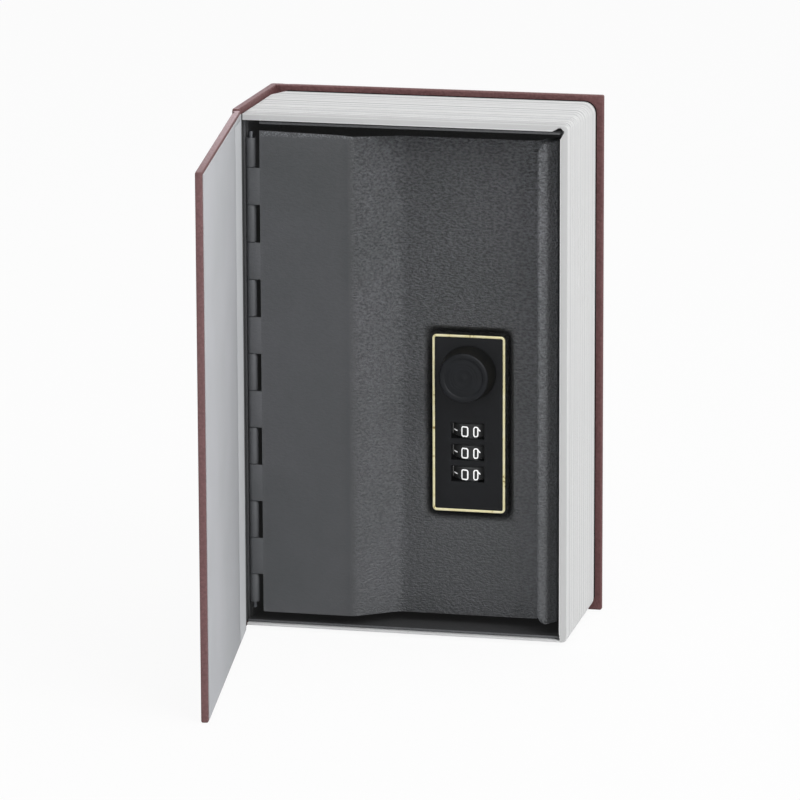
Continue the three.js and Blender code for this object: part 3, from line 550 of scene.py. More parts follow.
def bevelSharp(bm, angle, offset, segments, wanted=None):
    # rounds the convex edges that turn more than angle degrees
    edges = [
        e for e in bm.edges
        if len(e.link_faces) == 2 and e.calc_face_angle(0) > math.radians(angle) and e.is_convex
        and (wanted is None or wanted(e))]
    bmesh.ops.bevel(
        bm, geom=edges, offset=offset * mm, segments=segments, profile=0.5,
        affect="EDGES", material=-1, clamp_overlap=True)


def boxMesh(low, high, edge=0, segments=2):
    # a box between two corners in book millimetres, with rounded edges
    bm = bmesh.new()
    made = bmesh.ops.create_cube(bm, size=1)
    a, b = at(*low), at(*high)
    bmesh.ops.scale(bm, vec=b - a, verts=made["verts"])
    bmesh.ops.translate(bm, vec=(a + b) / 2, verts=made["verts"])
    if edge:
        bevelSharp(bm, 30, edge, segments)
    return bm


def mergeInto(target, source):
    carrier = bpy.data.meshes.new("carrier")
    source.to_mesh(carrier)
    source.free()
    target.from_mesh(carrier)
    bpy.data.meshes.remove(carrier)


def turned(profile, centre, axis, steps, side=(1, 0, 0)):
    # spins a profile of (radius, along) in millimetres round an axis through centre
    bm = bmesh.new()
    out, along = Vector(side), Vector(axis)
    verts = [bm.verts.new(centre + out * r * mm + along * h * mm) for r, h in profile]
    edges = [bm.edges.new(pair) for pair in zip(verts, verts[1:])]
    bmesh.ops.spin(
        bm, geom=verts + edges, cent=centre, axis=along, angle=2 * math.pi, steps=steps,
        use_merge=True, use_duplicate=False)
    bmesh.ops.remove_doubles(bm, verts=bm.verts[:], dist=1e-6)
    bmesh.ops.recalc_face_normals(bm, faces=bm.faces[:])
    return bm


def newVerts(made):
    return [v for v in made["geom"] if isinstance(v, bmesh.types.BMVert)]


def thickened(bm, shift, keep):
    # extrudes the faces along shift into a closed solid; keep holds on to the faces that were there
    made = bmesh.ops.extrude_face_region(bm, geom=bm.faces[:], use_keep_orig=keep)
    bmesh.ops.translate(bm, vec=shift, verts=newVerts(made))
    bmesh.ops.recalc_face_normals(bm, faces=bm.faces[:])
    return bm


def grownRing(bm, ring, edges, places):
    # extrudes a row of verts with its edges, and puts the new row at its places
    made = bmesh.ops.extrude_edge_only(bm, edges=edges)
    old = {tuple(v.co): i for i, v in enumerate(ring)}
    ring = sorted(newVerts(made), key=lambda v: old[tuple(v.co)])
    members = set(ring)
    edges = [e for e in made["geom"] if isinstance(e, bmesh.types.BMEdge) and set(e.verts) <= members]
    for vert, place in zip(ring, places):
        vert.co = place
    return ring, edges


def pulled(points, shift):
    # a flat outline of places in metres, pulled along shift into a closed solid
    bm = bmesh.new()
    bm.faces.new([bm.verts.new(p) for p in points])
    return thickened(bm, shift, False)


def upright(points, z0, z1):
    # an outline in X and Y pulled from z0 to z1
    return pulled([at(x, y, z0) for x, y in points], Vector((0, 0, (z1 - z0) * mm)))


def facing(points, y0, y1):
    # an outline in X and Z pulled from y0 to y1
    return pulled([at(x, y0, z) for x, z in points], Vector((0, (y1 - y0) * mm, 0)))


def arc(centre, radius, start, end, steps):
    # points on an arc, angles in degrees
    turns = [math.radians(start + (end - start) * i / steps) for i in range(steps + 1)]
    return [(centre[0] + radius * math.cos(t), centre[1] + radius * math.sin(t)) for t in turns]


def roundedPoints(x0, x1, z0, z1, radius, steps=6):
    # a rectangle with round corners, from lower left round to upper left
    return (
        arc((x0 + radius, z0 + radius), radius, 180, 270, steps)
        + arc((x1 - radius, z0 + radius), radius, 270, 360, steps)
        + arc((x1 - radius, z1 - radius), radius, 0, 90, steps)
        + arc((x0 + radius, z1 - radius), radius, 90, 180, steps))


def softPath(corners, steps):
    # a path whose inner corners of (x, y, radius) are rounded by arcs
    points = [corners[0][:2]]
    for before, here, after in zip(corners, corners[1:], corners[2:]):
        place = Vector(here[:2])
        toBefore = (Vector(before[:2]) - place).normalized()
        toAfter = (Vector(after[:2]) - place).normalized()
        half = toBefore.angle(toAfter) / 2
        reach = here[2] / math.tan(half)
        centre = place + (toBefore + toAfter).normalized() * here[2] / math.sin(half)
        first = place + toBefore * reach - centre
        turn = first.angle_signed(place + toAfter * reach - centre)
        for i in range(steps + 1):
            spoke = first.copy()
            spoke.rotate(Matrix.Rotation(-turn * i / steps, 2))
            points.append(tuple(centre + spoke))
    points.append(corners[-1][:2])
    return points


# cover

_, coverHigh = span("back_board")
spineLow, spineHigh = span("spine_board")
jointLow, jointHigh = span("front_joint_cloth")
rowOfJoints = {joint["name"]: joint for joint in frame["joints"]}
cover = {
    "height": coverHigh.z,
    "width": coverHigh.x,
    "board": spineHigh.x,
    "axisX": (jointLow.x + jointHigh.x) / 2,
    "jointGap": spineLow.y,
    "openAngle": -math.radians(rowOfJoints["cover_hinge"]["range_deg"][0]),
    "edge": 0.6,
    "spineCorner": 1.6,
    "grooveFrom": 3.6,
    "grooveWide": 5,
    "grooveDeep": 0.5,
    "grooveInset": 0.8,
    "paper": 0.35,
    "paperSunk": 0.05,
    "paperMargin": 1,
    "paperEdge": 0.1,
    "backPaperEdge": 0.08,
    "turnIn": 5,
}


def opened(bm):
    # turns a piece from the closed cover's place to the open one
    turn = Matrix.Rotation(-cover["openAngle"], 3, "Z")
    bmesh.ops.rotate(bm, cent=at(cover["axisX"], 0, 0), matrix=turn, verts=bm.verts[:])
    return bm


def openPlace(u, v):
    # a place on the open cover: u from the hinge line along the board, v in from its outer face
    turn = cover["openAngle"]
    x = cover["axisX"] + u * math.cos(turn) + v * math.sin(turn)
    return x, v * math.cos(turn) - u * math.sin(turn)


def grooved(x0, wide, y, deep):
    # a shallow pressed joint groove along a board's outer face
    steps = 8
    return [
        (x0 + wide * i / steps, y - deep * (1 - math.cos(2 * math.pi * i / steps)) / 2)
        for i in range(steps + 1)]


def backCasing():
    # spine and back board, wrapped in one piece of leatherette
    board, edge = cover["board"], cover["spineCorner"]
    outline = [(board, cover["jointGap"]), (0, cover["jointGap"])]
    outline += arc((edge, bookDepth - edge), edge, 180, 90, 6)
    outline += grooved(cover["grooveFrom"], cover["grooveWide"], bookDepth, cover["grooveDeep"])
    inside = bookDepth - board
    outline += [(cover["width"], bookDepth), (cover["width"], inside), (board, inside)]
    bm = upright(outline, 0, cover["height"])
    bevelSharp(bm, 40, cover["edge"], 4)
    finishPiece("back_cover_and_spine", bm, "cover", "book_block", "back_board", "spine_board", smooth=35)


def frontBoard():
    # the front board in its leatherette, open as in the photograph
    x0 = cover["axisX"] + cover["jointGap"]
    outline = [(x0, cover["board"]), (x0, 0)]
    groove = grooved(x0 + cover["grooveInset"], cover["grooveWide"], 0, cover["grooveDeep"])
    outline += [(x, -y) for x, y in groove]
    outline += [(cover["width"], 0), (cover["width"], cover["board"])]
    bm = upright(outline, 0, cover["height"])
    bevelSharp(bm, 40, cover["edge"], 4)
    finishPiece("front_cover_board", opened(bm), "cover", "front_cover", "front_board", smooth=35)


def bentPath(start, pull, push, end, steps):
    # a curve in X and Y that leaves its start towards pull and comes from push to its end
    curve = interpolate_bezier(*(Vector((*place, 0)) for place in (start, pull, push, end)), steps)
    return [(p.x, p.y) for p in curve]


def sheetAlong(path, thickness, margin):
    # a thin sheet along a path in X and Y, thickened both ways, with a margin at the tail and the head
    bm = bmesh.new()
    verts = [bm.verts.new(at(x, y, margin)) for x, y in path]
    made = bmesh.ops.extrude_edge_only(bm, edges=[bm.edges.new(pair) for pair in zip(verts, verts[1:])])
    rise = Vector((0, 0, (cover["height"] - 2 * margin) * mm))
    bmesh.ops.translate(bm, vec=rise, verts=newVerts(made))
    bmesh.ops.recalc_face_normals(bm, faces=bm.faces[:])
    bmesh.ops.solidify(bm, geom=bm.faces[:], thickness=thickness * mm)
    bmesh.ops.recalc_face_normals(bm, faces=bm.faces[:])
    return bm


jointSkin = {
    "thick": 0.3,
    "margin": 0.8,
    "proud": 0.12,
    "sunk": 0.15,
    "glued": (10, 12),  # from the hinge along the spine and along the board
    "bendFrom": 2.6,
    "pull": (0.5, 1.2),
    "push": (0.6, 0.7),
    "steps": 14,
}


def jointCloth():
    # the leatherette that bends at the front joint, from the spine's face to the board's
    skin = jointSkin
    proud, sunk, bendFrom = skin["proud"], skin["sunk"], skin["bendFrom"]
    near, far = skin["glued"]
    path = [(sunk, far), (-proud, near)]
    path += bentPath(
        (-proud, bendFrom), skin["pull"], openPlace(*skin["push"]), openPlace(bendFrom, -proud),
        skin["steps"])
    path += [openPlace(near, -proud), openPlace(far, sunk)]
    finishPiece(
        "front_joint_leatherette", sheetAlong(path, skin["thick"], skin["margin"]), "joint", "book_block",
        "front_joint_cloth", smooth=50,
        blendTo=("front_cover", at(0, cover["jointGap"], 0), at(*openPlace(cover["jointGap"], 0), 0)))


def frontEndpaper():
    # endpaper glued to the inside of the front board
    margin, board = cover["paperMargin"], cover["board"]
    x0, x1 = cover["axisX"] + cover["jointGap"] + margin, cover["width"] - margin
    low = (x0, board - cover["paperSunk"], margin)
    high = (x1, board + cover["paper"], cover["height"] - margin)
    finishPiece(
        "front_endpaper_sheet", opened(boxMesh(low, high, cover["paperEdge"])), "paper", "front_cover",
        "front_endpaper", smooth=35)


def backEndpaper():
    # endpaper inside the back board, kept clear of the turned in leatherette round its edges
    low, high = span("back_endpaper")
    inset = Vector((cover["turnIn"], 0, cover["turnIn"]))
    bm = boxMesh(low + inset, high - inset, cover["backPaperEdge"], 1)
    finishPiece("back_endpaper_sheet", bm, "paper", "book_block", "back_endpaper", smooth=35)


paperStrip = {
    "thick": 0.12,
    "margin": 2.2,
    # from the hinge along the cover, and off the endpaper
    "start": (23, 0.06),
    "leaves": (16, 0.26),
    "rises": (12, 0.28),
    "crest": (9, 0.28),
    "fold": (4, 0.18),
    "bendTo": (7, 0.06),
    # from the page block's front corner
    "gutter": 0.3,
    "sinks": (0.55, 0.5),
    "tucked": [(0.2, 1.5), (0.25, 5)],
}


def hingeStrip():
    # a paler strip of paper lifts off the cover and runs down into the gutter
    strip = paperStrip
    face = cover["board"] + cover["paper"]
    start, leaves, rises, crest, fold, bendTo = [
        openPlace(strip[name][0], face + strip[name][1])
        for name in ("start", "leaves", "rises", "crest", "fold", "bendTo")]
    x, y = blockLow.x - strip["gutter"], blockLow.y
    path = bentPath(start, leaves, rises, crest, 8)[:-1]
    path += bentPath(crest, fold, (x + strip["sinks"][0], strip["sinks"][1]), (x, y), 10)
    path += [(x + inward, y + deeper) for inward, deeper in strip["tucked"]]
    finishPiece(
        "endpaper_hinge_strip", sheetAlong(path, strip["thick"], strip["margin"]), "strip", "book_block",
        smooth=50, blendTo=("front_cover", at(x, y, 0), at(*bendTo, 0)))


backCasing()
frontBoard()
jointCloth()
frontEndpaper()
backEndpaper()
hingeStrip()
print("cover made")


# page block

pages = {
    "groups": 14,
    "linesInGroup": 3,
    "frontCorner": 1.9,
    "backCorner": 4.2,
    "rim": 2.3,
    "headRim": 2.1,
    "tailRim": 0.85,
    "ease": 0.3,
    "groove": 0.55,
    "line": 0.12,
    "lineHalf": 0.14,
    "easeStep": 0.1,
    "easeShare": 0.8,
    "notchIn": 2.7,
    "notchOut": 1.5,
    "tailNotch": 0.3,
    "notchDeep": 6,
    "closed": 0.02,
    "cornerSteps": 8,
    "spineSide": 0.6,
    "cutFrom": 42,
    "cutWide": 3.4,
    "frontRound": 0.45,
    "sag": 0.2,
    "seamIn": 0.12,
    "foreProud": 0.5,
    "back": blockHigh.y - 2.4,
}


def pageOutline(y, inset):
    # the block's outer wall as an open path, then its inner wall back again
    along = (y - blockLow.y) / (blockHigh.y - blockLow.y)
    radius = pages["frontCorner"] + (pages["backCorner"] - pages["frontCorner"]) * along
    cut = min(max((y - pages["cutFrom"]) / (pages["back"] - pages["cutFrom"]), 0), 1) * pages["cutWide"]
    x0 = blockLow.x + pages["spineSide"] + cut
    x1 = blockHigh.x + pages["foreProud"] - inset
    z0, z1 = blockLow.z + inset, blockHigh.z - inset
    steps = pages["cornerSteps"]
    outer = [(x0, z0)] + arc((x1 - radius, z0 + radius), radius, 270, 360, steps)
    outer += arc((x1 - radius, z1 - radius), radius, 0, 90, steps) + [(x0, z1)]
    innerX = blockHigh.x - pages["rim"]
    innerLow, innerHigh = blockLow.z + pages["tailRim"], blockHigh.z - pages["headRim"]
    deep = y > blockLow.y + pages["notchDeep"]
    near = pages["closed"] if deep else pages["notchIn"]
    far = pages["closed"] if deep else pages["notchOut"]
    low = pages["closed"] if deep else pages["tailNotch"]
    high = innerHigh - pages["sag"]
    inner = [(x0, innerHigh), (innerX - near, high), (innerX, high + far), (innerX + far, high)]
    inner += [(innerX, high - near), (innerX, innerLow + near), (innerX + low, innerLow)]
    inner += [(innerX, innerLow - low), (innerX - near, innerLow), (x0, innerLow)]
    return [at(x, y, z) for x, z in outer + inner]


def pageRows():
    # depths and insets of the rings: eased groups with fine page lines between them
    pitch = (blockHigh.y - blockLow.y) / pages["groups"]
    ease, step, part = pages["ease"], pages["easeStep"], pages["ease"] * pages["easeShare"]
    rows = []
    for group in range(pages["groups"]):
        start = blockLow.y + group * pitch
        rows += [(start, pages["groove"]), (start + step, part), (start + ease, 0)]
        for line in range(1, pages["linesInGroup"] + 1):
            y = start + pitch * line / (pages["linesInGroup"] + 1)
            rows += [(y - pages["lineHalf"], 0), (y, pages["line"]), (y + pages["lineHalf"], 0)]
        rows += [(start + pitch - ease, 0), (start + pitch - step, part)]
    # the front edge is rounder, and the back edge stops short of the cover
    soft = pages["frontRound"]
    rows = [row for row in rows if blockLow.y + soft < row[0] < pages["back"] - soft]
    turns = [math.pi / 2 * i / 6 for i in range(7)]
    rounded = [(blockLow.y + soft * (1 - math.sin(t)), soft * (1 - math.cos(t))) for t in reversed(turns)]
    rows = rounded + rows
    rows += [(pages["back"] - ease, 0), (pages["back"], ease)]
    rows += [(pages["back"] + 0.05, pages["seamIn"]), (blockHigh.y, pages["seamIn"])]
    # the mouth's notched corners end in a step
    notchEnd = blockLow.y + pages["notchDeep"]
    before = [r for r in rows if r[0] < notchEnd - 0.01]
    after = [r for r in rows if r[0] > notchEnd + 0.01]
    return before + [(notchEnd, 0), (notchEnd + 0.001, 0)] + after


def pageBlock():
    bm = bmesh.new()
    first, *others = pageRows()
    ring = [bm.verts.new(p) for p in pageOutline(*first)]
    edges = bm.faces.new(ring).edges[:]
    for row in others:
        ring, edges = grownRing(bm, ring, edges, pageOutline(*row))
    bm.faces.new(ring)
    bmesh.ops.recalc_face_normals(bm, faces=bm.faces[:])
    finishPiece("moulded_page_block", bm, "pages", "book_block", "page_block", smooth=32)


pageBlock()
print("page block made")


# hinge

doorLow, doorHigh = span("door_panel")
boxLow, boxHigh = span("safe_box")
pinLow, pinHigh = span("hinge_pin")
hinge = {
    "x": (pinLow.x + pinHigh.x) / 2,
    "y": (pinLow.y + pinHigh.y) / 2,
    "radius": 1.65,
    "leaf": 0.7,
    "knuckles": 7,
    "topShare": 0.787,
    "bottomShare": 0.772,
    "topInset": 1.6,
    "bottomInset": 3.1,
    "gap": 0.1,
    "arcSteps": 22,
    "seam": 16,
    "edge": 0.12,
    "doorLeaf": 1.75,
    "boxLeaf": 3,
    "pinCrown": [(0.35, 0), (0.1, 0.1), (0, 0.35)],
}


def knuckleSpans():
    # heights of the knuckles from the bottom up: even ones belong to the box, odd ones to the door
    low, high = doorLow.z + hinge["bottomInset"], doorHigh.z - hinge["topInset"]
    last = 2 * hinge["knuckles"] - 2
    shares = [hinge["bottomShare"]] + [1] * (last - 1) + [hinge["topShare"]]
    pitch = (high - low) / sum(shares)
    spans, z = [], low
    for share in shares:
        spans.append((z + hinge["gap"], z + share * pitch - hinge["gap"]))
        z += share * pitch
    return spans


def rolledKnuckle(start, leafOuter, leafInner, z0, z1):
    # one knuckle: a leaf that runs up to the pin and rolls round it, leaving a fine seam
    pin = (hinge["x"], hinge["y"])
    outer, inner = hinge["radius"], hinge["radius"] - hinge["leaf"]
    end = start - 360 + hinge["seam"] if leafOuter[0] > hinge["x"] else start + 360 - hinge["seam"]
    path = [leafOuter] + arc(pin, outer, start, end, hinge["arcSteps"])
    path += arc(pin, inner, end, start, hinge["arcSteps"]) + [leafInner]
    bm = upright(path, z0, z1)
    bevelSharp(bm, 60, hinge["edge"], 2)
    return bm


def hingeLeaves():
    leaves = {"box": bmesh.new(), "door": bmesh.new()}
    leaf, radius, top = hinge["leaf"], hinge["radius"], doorLow.y
    edge = hinge["x"] + radius + hinge["doorLeaf"]
    side = hinge["x"] - radius
    deep = hinge["y"] + radius + hinge["boxLeaf"]
    for i, (z0, z1) in enumerate(knuckleSpans()):
        if i % 2:
            mergeInto(leaves["door"], rolledKnuckle(270, (edge, top), (edge, top + leaf), z0, z1))
        else:
            mergeInto(leaves["box"], rolledKnuckle(180, (side, deep), (side + leaf, deep), z0, z1))
    finishPiece("box_hinge_knuckles", leaves["box"], "coat", "book_block", smooth=30)
    finishPiece("door_hinge_knuckles", leaves["door"], "coat", "door", smooth=30)


def hingePin():
    r = (pinHigh.x - pinLow.x) / 2
    profile = [(0, 0)] + [(r - inset, h) for inset, h in hinge["pinCrown"]]
    length = pinHigh.z - pinLow.z
    profile += [(radius, length - h) for radius, h in reversed(profile)]
    bm = turned(profile, at(hinge["x"], hinge["y"], pinLow.z), (0, 0, 1), 24)
    finishPiece("piano_hinge_pin", bm, "pin", "book_block", "hinge_pin", smooth=40)


hingeLeaves()
hingePin()
print("hinge made")


# steel box

steelBox = {
    "steel": 0.8,
    "edge": 0.18,
    "wallFront": hinge["y"] + hinge["radius"] + 0.3,
    "sideFront": blockLow.y + 7.5,
    "headGap": 0.5,
    "floorDrop": 0.65,
    "mouth": 1.5,
    "headWide": 9,  # the head's plate stands back beside the hinge
    "headBack": 6,
    "headStart": 5.4,
    "flangeLeft": 0.45,
    "flangeRight": 0.4,
    "flangeFront": 1,
    "flangeBack": 8,
}


def trayBox():
    # five folded plates with soft edges: the side walls stand back from the mouth
    tray = steelBox
    s, edge = tray["steel"], tray["edge"]
    x0, x1, y0, y1 = boxLow.x, boxHigh.x, blockLow.y + tray["mouth"], boxHigh.y
    z0, z1 = boxLow.z - tray["floorDrop"], boxHigh.z - tray["headGap"]
    bm = boxMesh((x0, y1 - s, z0), (x1, y1, z1), edge)
    for low, high in [
        ((x0, y0, z0), (x1, y1, z0 + s)),
        ((x0, y0 + tray["headBack"], z1 - s), (x0 + tray["headWide"], y1, z1)),
        ((x0 + tray["headStart"], y0, z1 - s), (x1, y1, z1)),
        ((x0 - tray["flangeLeft"], y0 + tray["flangeFront"], z0),
         (x0 + tray["flangeRight"], y0 + tray["flangeBack"], z1)),
        ((x0, tray["wallFront"], z0), (x0 + s, y1, z1)),
        ((x1 - s, tray["sideFront"], z0), (x1, y1, z1)),
    ]:
        mergeInto(bm, boxMesh(low, high, edge))
    finishPiece("steel_tray", bm, "tray", "book_block", "safe_box", smooth=35)


def dome(radius, height, steps=6):
    # profile of a low domed head
    return [
        (radius * math.cos(t), height * math.sin(t))
        for t in [math.pi / 2 * i / steps for i in range(steps + 1)]]


rivets = {
    "box_rivet": {
        "count": 4, "shank": 1.5, "long": 1.3, "brim": 0.15, "dome": 0.9,
        "axis": (0, 1, 0), "side": (1, 0, 0), "steps": 28},
    "strike_rivet": {
        "count": 2, "shank": 1, "long": 1.4, "brim": 0.1, "dome": 0.8,
        "axis": (1, 0, 0), "side": (0, 0, 1), "steps": 24},
}


def domedRivets(kind, face):
    # rivets with domed heads whose shanks start at a plate's face
    rivet = rivets[kind]
    shank, long = rivet["shank"], rivet["long"]
    for i in range(1, rivet["count"] + 1):
        low, high = span("%s_%d" % (kind, i))
        radius = (high - low).dot(Vector(rivet["side"])) / 2
        place = (low + high) / 2
        place[rivet["axis"].index(1)] = face
        profile = [(0, long), (shank, long), (shank, 0), (radius, 0)]
        profile += [(r, -rivet["brim"] - h) for r, h in dome(radius, rivet["dome"])]
        bm = turned(profile, at(*place), rivet["axis"], rivet["steps"], rivet["side"])
        finishPiece("%s_domed_%d" % (kind, i), bm, "steel", "book_block", "%s_%d" % (kind, i), smooth=40)


strikeShape = {"thick": 2, "round": 1.2, "edge": 0.3}


def strikePlate():
    low, high = span("strike")
    face = high.x - steelBox["steel"]
    step, r = low.y + strikeShape["thick"], strikeShape["round"]
    outline = [(high.x, high.y), (face, high.y), (face, step), (low.x, step), (low.x, low.y)]
    outline += arc((high.x - r, low.y + r), r, 270, 360, 5)
    bm = upright(outline, low.z, high.z)
    bevelSharp(bm, 60, strikeShape["edge"], 3)
    finishPiece("folded_strike", bm, "steel", "book_block", "strike", smooth=35)
    domedRivets("strike_rivet", face)


trayBox()
domedRivets("box_rivet", boxHigh.y - steelBox["steel"])
strikePlate()
print("steel box made")


# door

housingLow, housingHigh = span("lock_housing")
lockX, lockZ = (plateLow.x + plateHigh.x) / 2, (plateLow.z + plateHigh.z) / 2
door = {
    "left": hinge["x"] + hinge["radius"] + 1.7,
    "steel": 0.8,
    "plateauEnd": 40.5,
    "slopeEnd": 54.3,
    "recess": 10,
    "slopeBend": 5,
    "footBend": 1.7,
    "lipBend": 1.0,
    "flankBend": 2.3,
    "lipWidth": 6.2,
    "lipFlat": 2.8,
    "lipLean": 1,
    "flankDepth": 5.3,
    "lipEndWide": 2.6,
    "lipEndTall": 4.8,
    "pocketMargin": 3.2,
    "pocketDepth": 3.6,
    "pocketSoft": 2.9,
    "pocketCorner": 4.4,
    "fine": 0.75,
    "bendSteps": 8,
    "drawnOver": 8,
    "headEnd": [(8, -1.0), (38, -0.3), (41, 0.1), (52, 0.8), (102, 0.8), (106, 0.1), (110, 0.1)],
    "tailEnd": [(8, 0), (102, 0), (104, 1.1), (109, 1.0), (110, 0.9)],
    "rowsFromEnd": [0, 0.5, 1, 1.6, 2.2, 2.9, 3.7, 4.8, 6.5, 8, 12],
    "holeWide": 9.6,
    "holeTall": 24.6,
    "softEdge": 0.15,
}


def doorRow(shift):
    # the sheet's middle line across the door; shift moves the lip's left side towards the right
    half = door["steel"] / 2
    front = doorLow.y + half
    recess = front + door["recess"]
    right = doorHigh.x - half
    lipLeft = doorHigh.x - door["lipWidth"] + half
    ease = 1 - 0.6 * shift / door["lipEndWide"]
    corners = [
        (door["left"], front),
        (door["plateauEnd"], front, door["slopeBend"]),
        (door["slopeEnd"], recess, door["slopeBend"]),
        (lipLeft - door["lipLean"] + shift, recess, door["footBend"] * (0.4 + 0.6 * ease)),
        (lipLeft + shift, front, door["lipBend"] * ease),
        (lipLeft + door["lipFlat"] - half, front, door["flankBend"] * ease),
        (right, doorLow.y + door["flankDepth"], door["footBend"]),
        (right, doorHigh.y),
    ]
    return softPath(corners, door["bendSteps"])


def divided(points):
    # adds points along the recess, where the pocket is pressed, and a few on the plateau
    made = []
    for (x0, y0), (x1, y1) in zip(points, points[1:]):
        made.append((x0, y0))
        wide = x1 - x0
        count = round(wide / door["fine"]) if wide > 30 and x0 > 50 else round(wide / 6) if wide > 12 else 1
        made += [(x0 + wide * i / count, y0 + (y1 - y0) * i / count) for i in range(1, count)]
    return made + [points[-1]]


def pressed(x, z):
    # how far the lock's pocket pushes the sheet back at a place
    wide = (plateHigh.x - plateLow.x) / 2 + door["pocketMargin"]
    tall = (plateHigh.z - plateLow.z) / 2 + door["pocketMargin"]
    dx = abs(x - lockX) - (wide - door["pocketCorner"])
    dz = abs(z - lockZ) - (tall - door["pocketCorner"])
    outside = math.hypot(max(dx, 0), max(dz, 0)) + min(max(dx, dz), 0)
    inside = min(max((door["pocketCorner"] - outside) / door["pocketSoft"], 0), 1)
    return door["pocketDepth"] * inside * inside * (3 - 2 * inside)


def doorHeights():
    # row heights: close together at the ends and over the pocket
    low = [doorLow.z + e for e in door["rowsFromEnd"]]
    high = [doorHigh.z - e for e in reversed(door["rowsFromEnd"])]
    tall = (plateHigh.z - plateLow.z) / 2 + door["pocketMargin"] + 0.5
    count = round(2 * tall / door["fine"])
    fine = [lockZ - tall + 2 * tall * i / count for i in range(count + 1)]
    coarse = [z for z in range(22, 160, 8) if abs(z - lockZ) > tall + 4]
    return sorted(low + fine + coarse + high)


def lipShift(z):
    # the lip's end corners are round
    reach = min(z - doorLow.z, doorHigh.z - z) / door["lipEndTall"]
    return door["lipEndWide"] * (1 - math.sqrt(1 - (1 - min(reach, 1)) ** 2))


def drawnIn(x, z):
    # pressing the sheet has pulled its ends in a little, least of all on the flat by the hinge
    head = interpolate(door["headEnd"], x) * max(1 - (doorHigh.z - z) / door["drawnOver"], 0)
    tail = interpolate(door["tailEnd"], x) * max(1 - (z - doorLow.z) / door["drawnOver"], 0)
    return z - head + tail


def interpolate(places, x):
    # the height at x on a line through (x, height) places
    for (x0, h0), (x1, h1) in zip(places, places[1:]):
        if x <= x1:
            return h0 + (h1 - h0) * max(x - x0, 0) / (x1 - x0)
    return places[-1][1]


def doorPlaces(z):
    places = []
    for x, y in divided(doorRow(lipShift(z))):
        inPocket = door["slopeEnd"] < x < doorHigh.x - door["lipWidth"] - 2
        places.append(at(x, y + (pressed(x, z) if inPocket else 0), drawnIn(x, z)))
    return places


def doorSheet():
    # one pressed sheet, drawn row by row, then given its thickness
    bm = bmesh.new()
    first, *others = doorHeights()
    ring = [bm.verts.new(p) for p in doorPlaces(first)]
    edges = [bm.edges.new(pair) for pair in zip(ring, ring[1:])]
    rows = [ring]
    for z in others:
        ring, edges = grownRing(bm, ring, edges, doorPlaces(z))
        rows.append(ring)
    closeLip(bm, rows)
    cutHousingHole(bm)
    bmesh.ops.recalc_face_normals(bm, faces=bm.faces[:])
    flat = next(f for f in bm.faces if f.calc_center_median().x < xAt(30))
    if flat.normal.y > 0:
        bmesh.ops.reverse_faces(bm, faces=bm.faces[:])
    piece = finishPiece("pressed_door_sheet", bm, "coat", "door", "door_panel", smooth=42)
    wall = piece.modifiers.new("sheet", "SOLIDIFY")
    wall.thickness = door["steel"] * mm
    wall.offset = 0
    wall.use_even_offset = False
    soften = piece.modifiers.new("eased edges", "BEVEL")
    soften.width = door["softEdge"] * mm
    soften.segments = 2
    soften.limit_method = "ANGLE"
    soften.angle_limit = math.radians(60)
    soften.harden_normals = False


def closeLip(bm, rows):
    # a flat cap closes the lip at both ends
    steps = door["bendSteps"]
    for ring in (rows[0], rows[-1]):
        foot = len(ring) - 2 - 4 * (steps + 1) + steps
        bm.faces.new(ring[foot:])


def cutHousingHole(bm):
    # the sheet is open where the lock's body passes through the pocket's floor
    hole = []
    for face in bm.faces:
        place = (face.calc_center_median() - corner) / mm
        if abs(place.x - lockX) < door["holeWide"] and abs(place.z - lockZ) < door["holeTall"]:
            hole.append(face)
    bmesh.ops.delete(bm, geom=hole, context="FACES")


doorSheet()
print("door made")


# lock

lock = {
    "corner": 1.5,
    "rim": 0.9,
    "backEdge": 0.35,
    "windowLeft": 6.15,
    "windowRight": 5.3,
    "windowTall": 2.75,
    "windowEase": 0.25,
    "face": 1.0,
    "faceY": housingLow.y,
    "faceInset": 0.15,
    "bodyHalf": 10,
    "bodyShare": 0.8157,  # of the plate's height
    "bodyEdge": 0.4,
    "dialRoom": 0.6,
    "rimSunk": 0.6,
    "rimEdge": 0.22,
}
dialMiddles = [middle("dial_%d" % (i + 1)) for i in range(3)]
dialLow, dialHigh = span("dial_1")
dialRadius = (dialHigh.x - dialLow.x) / 2
dialPitch = dialMiddles[0].z - dialMiddles[1].z
knobLow, knobHigh = span("knob")
knobMiddle = (knobLow + knobHigh) / 2


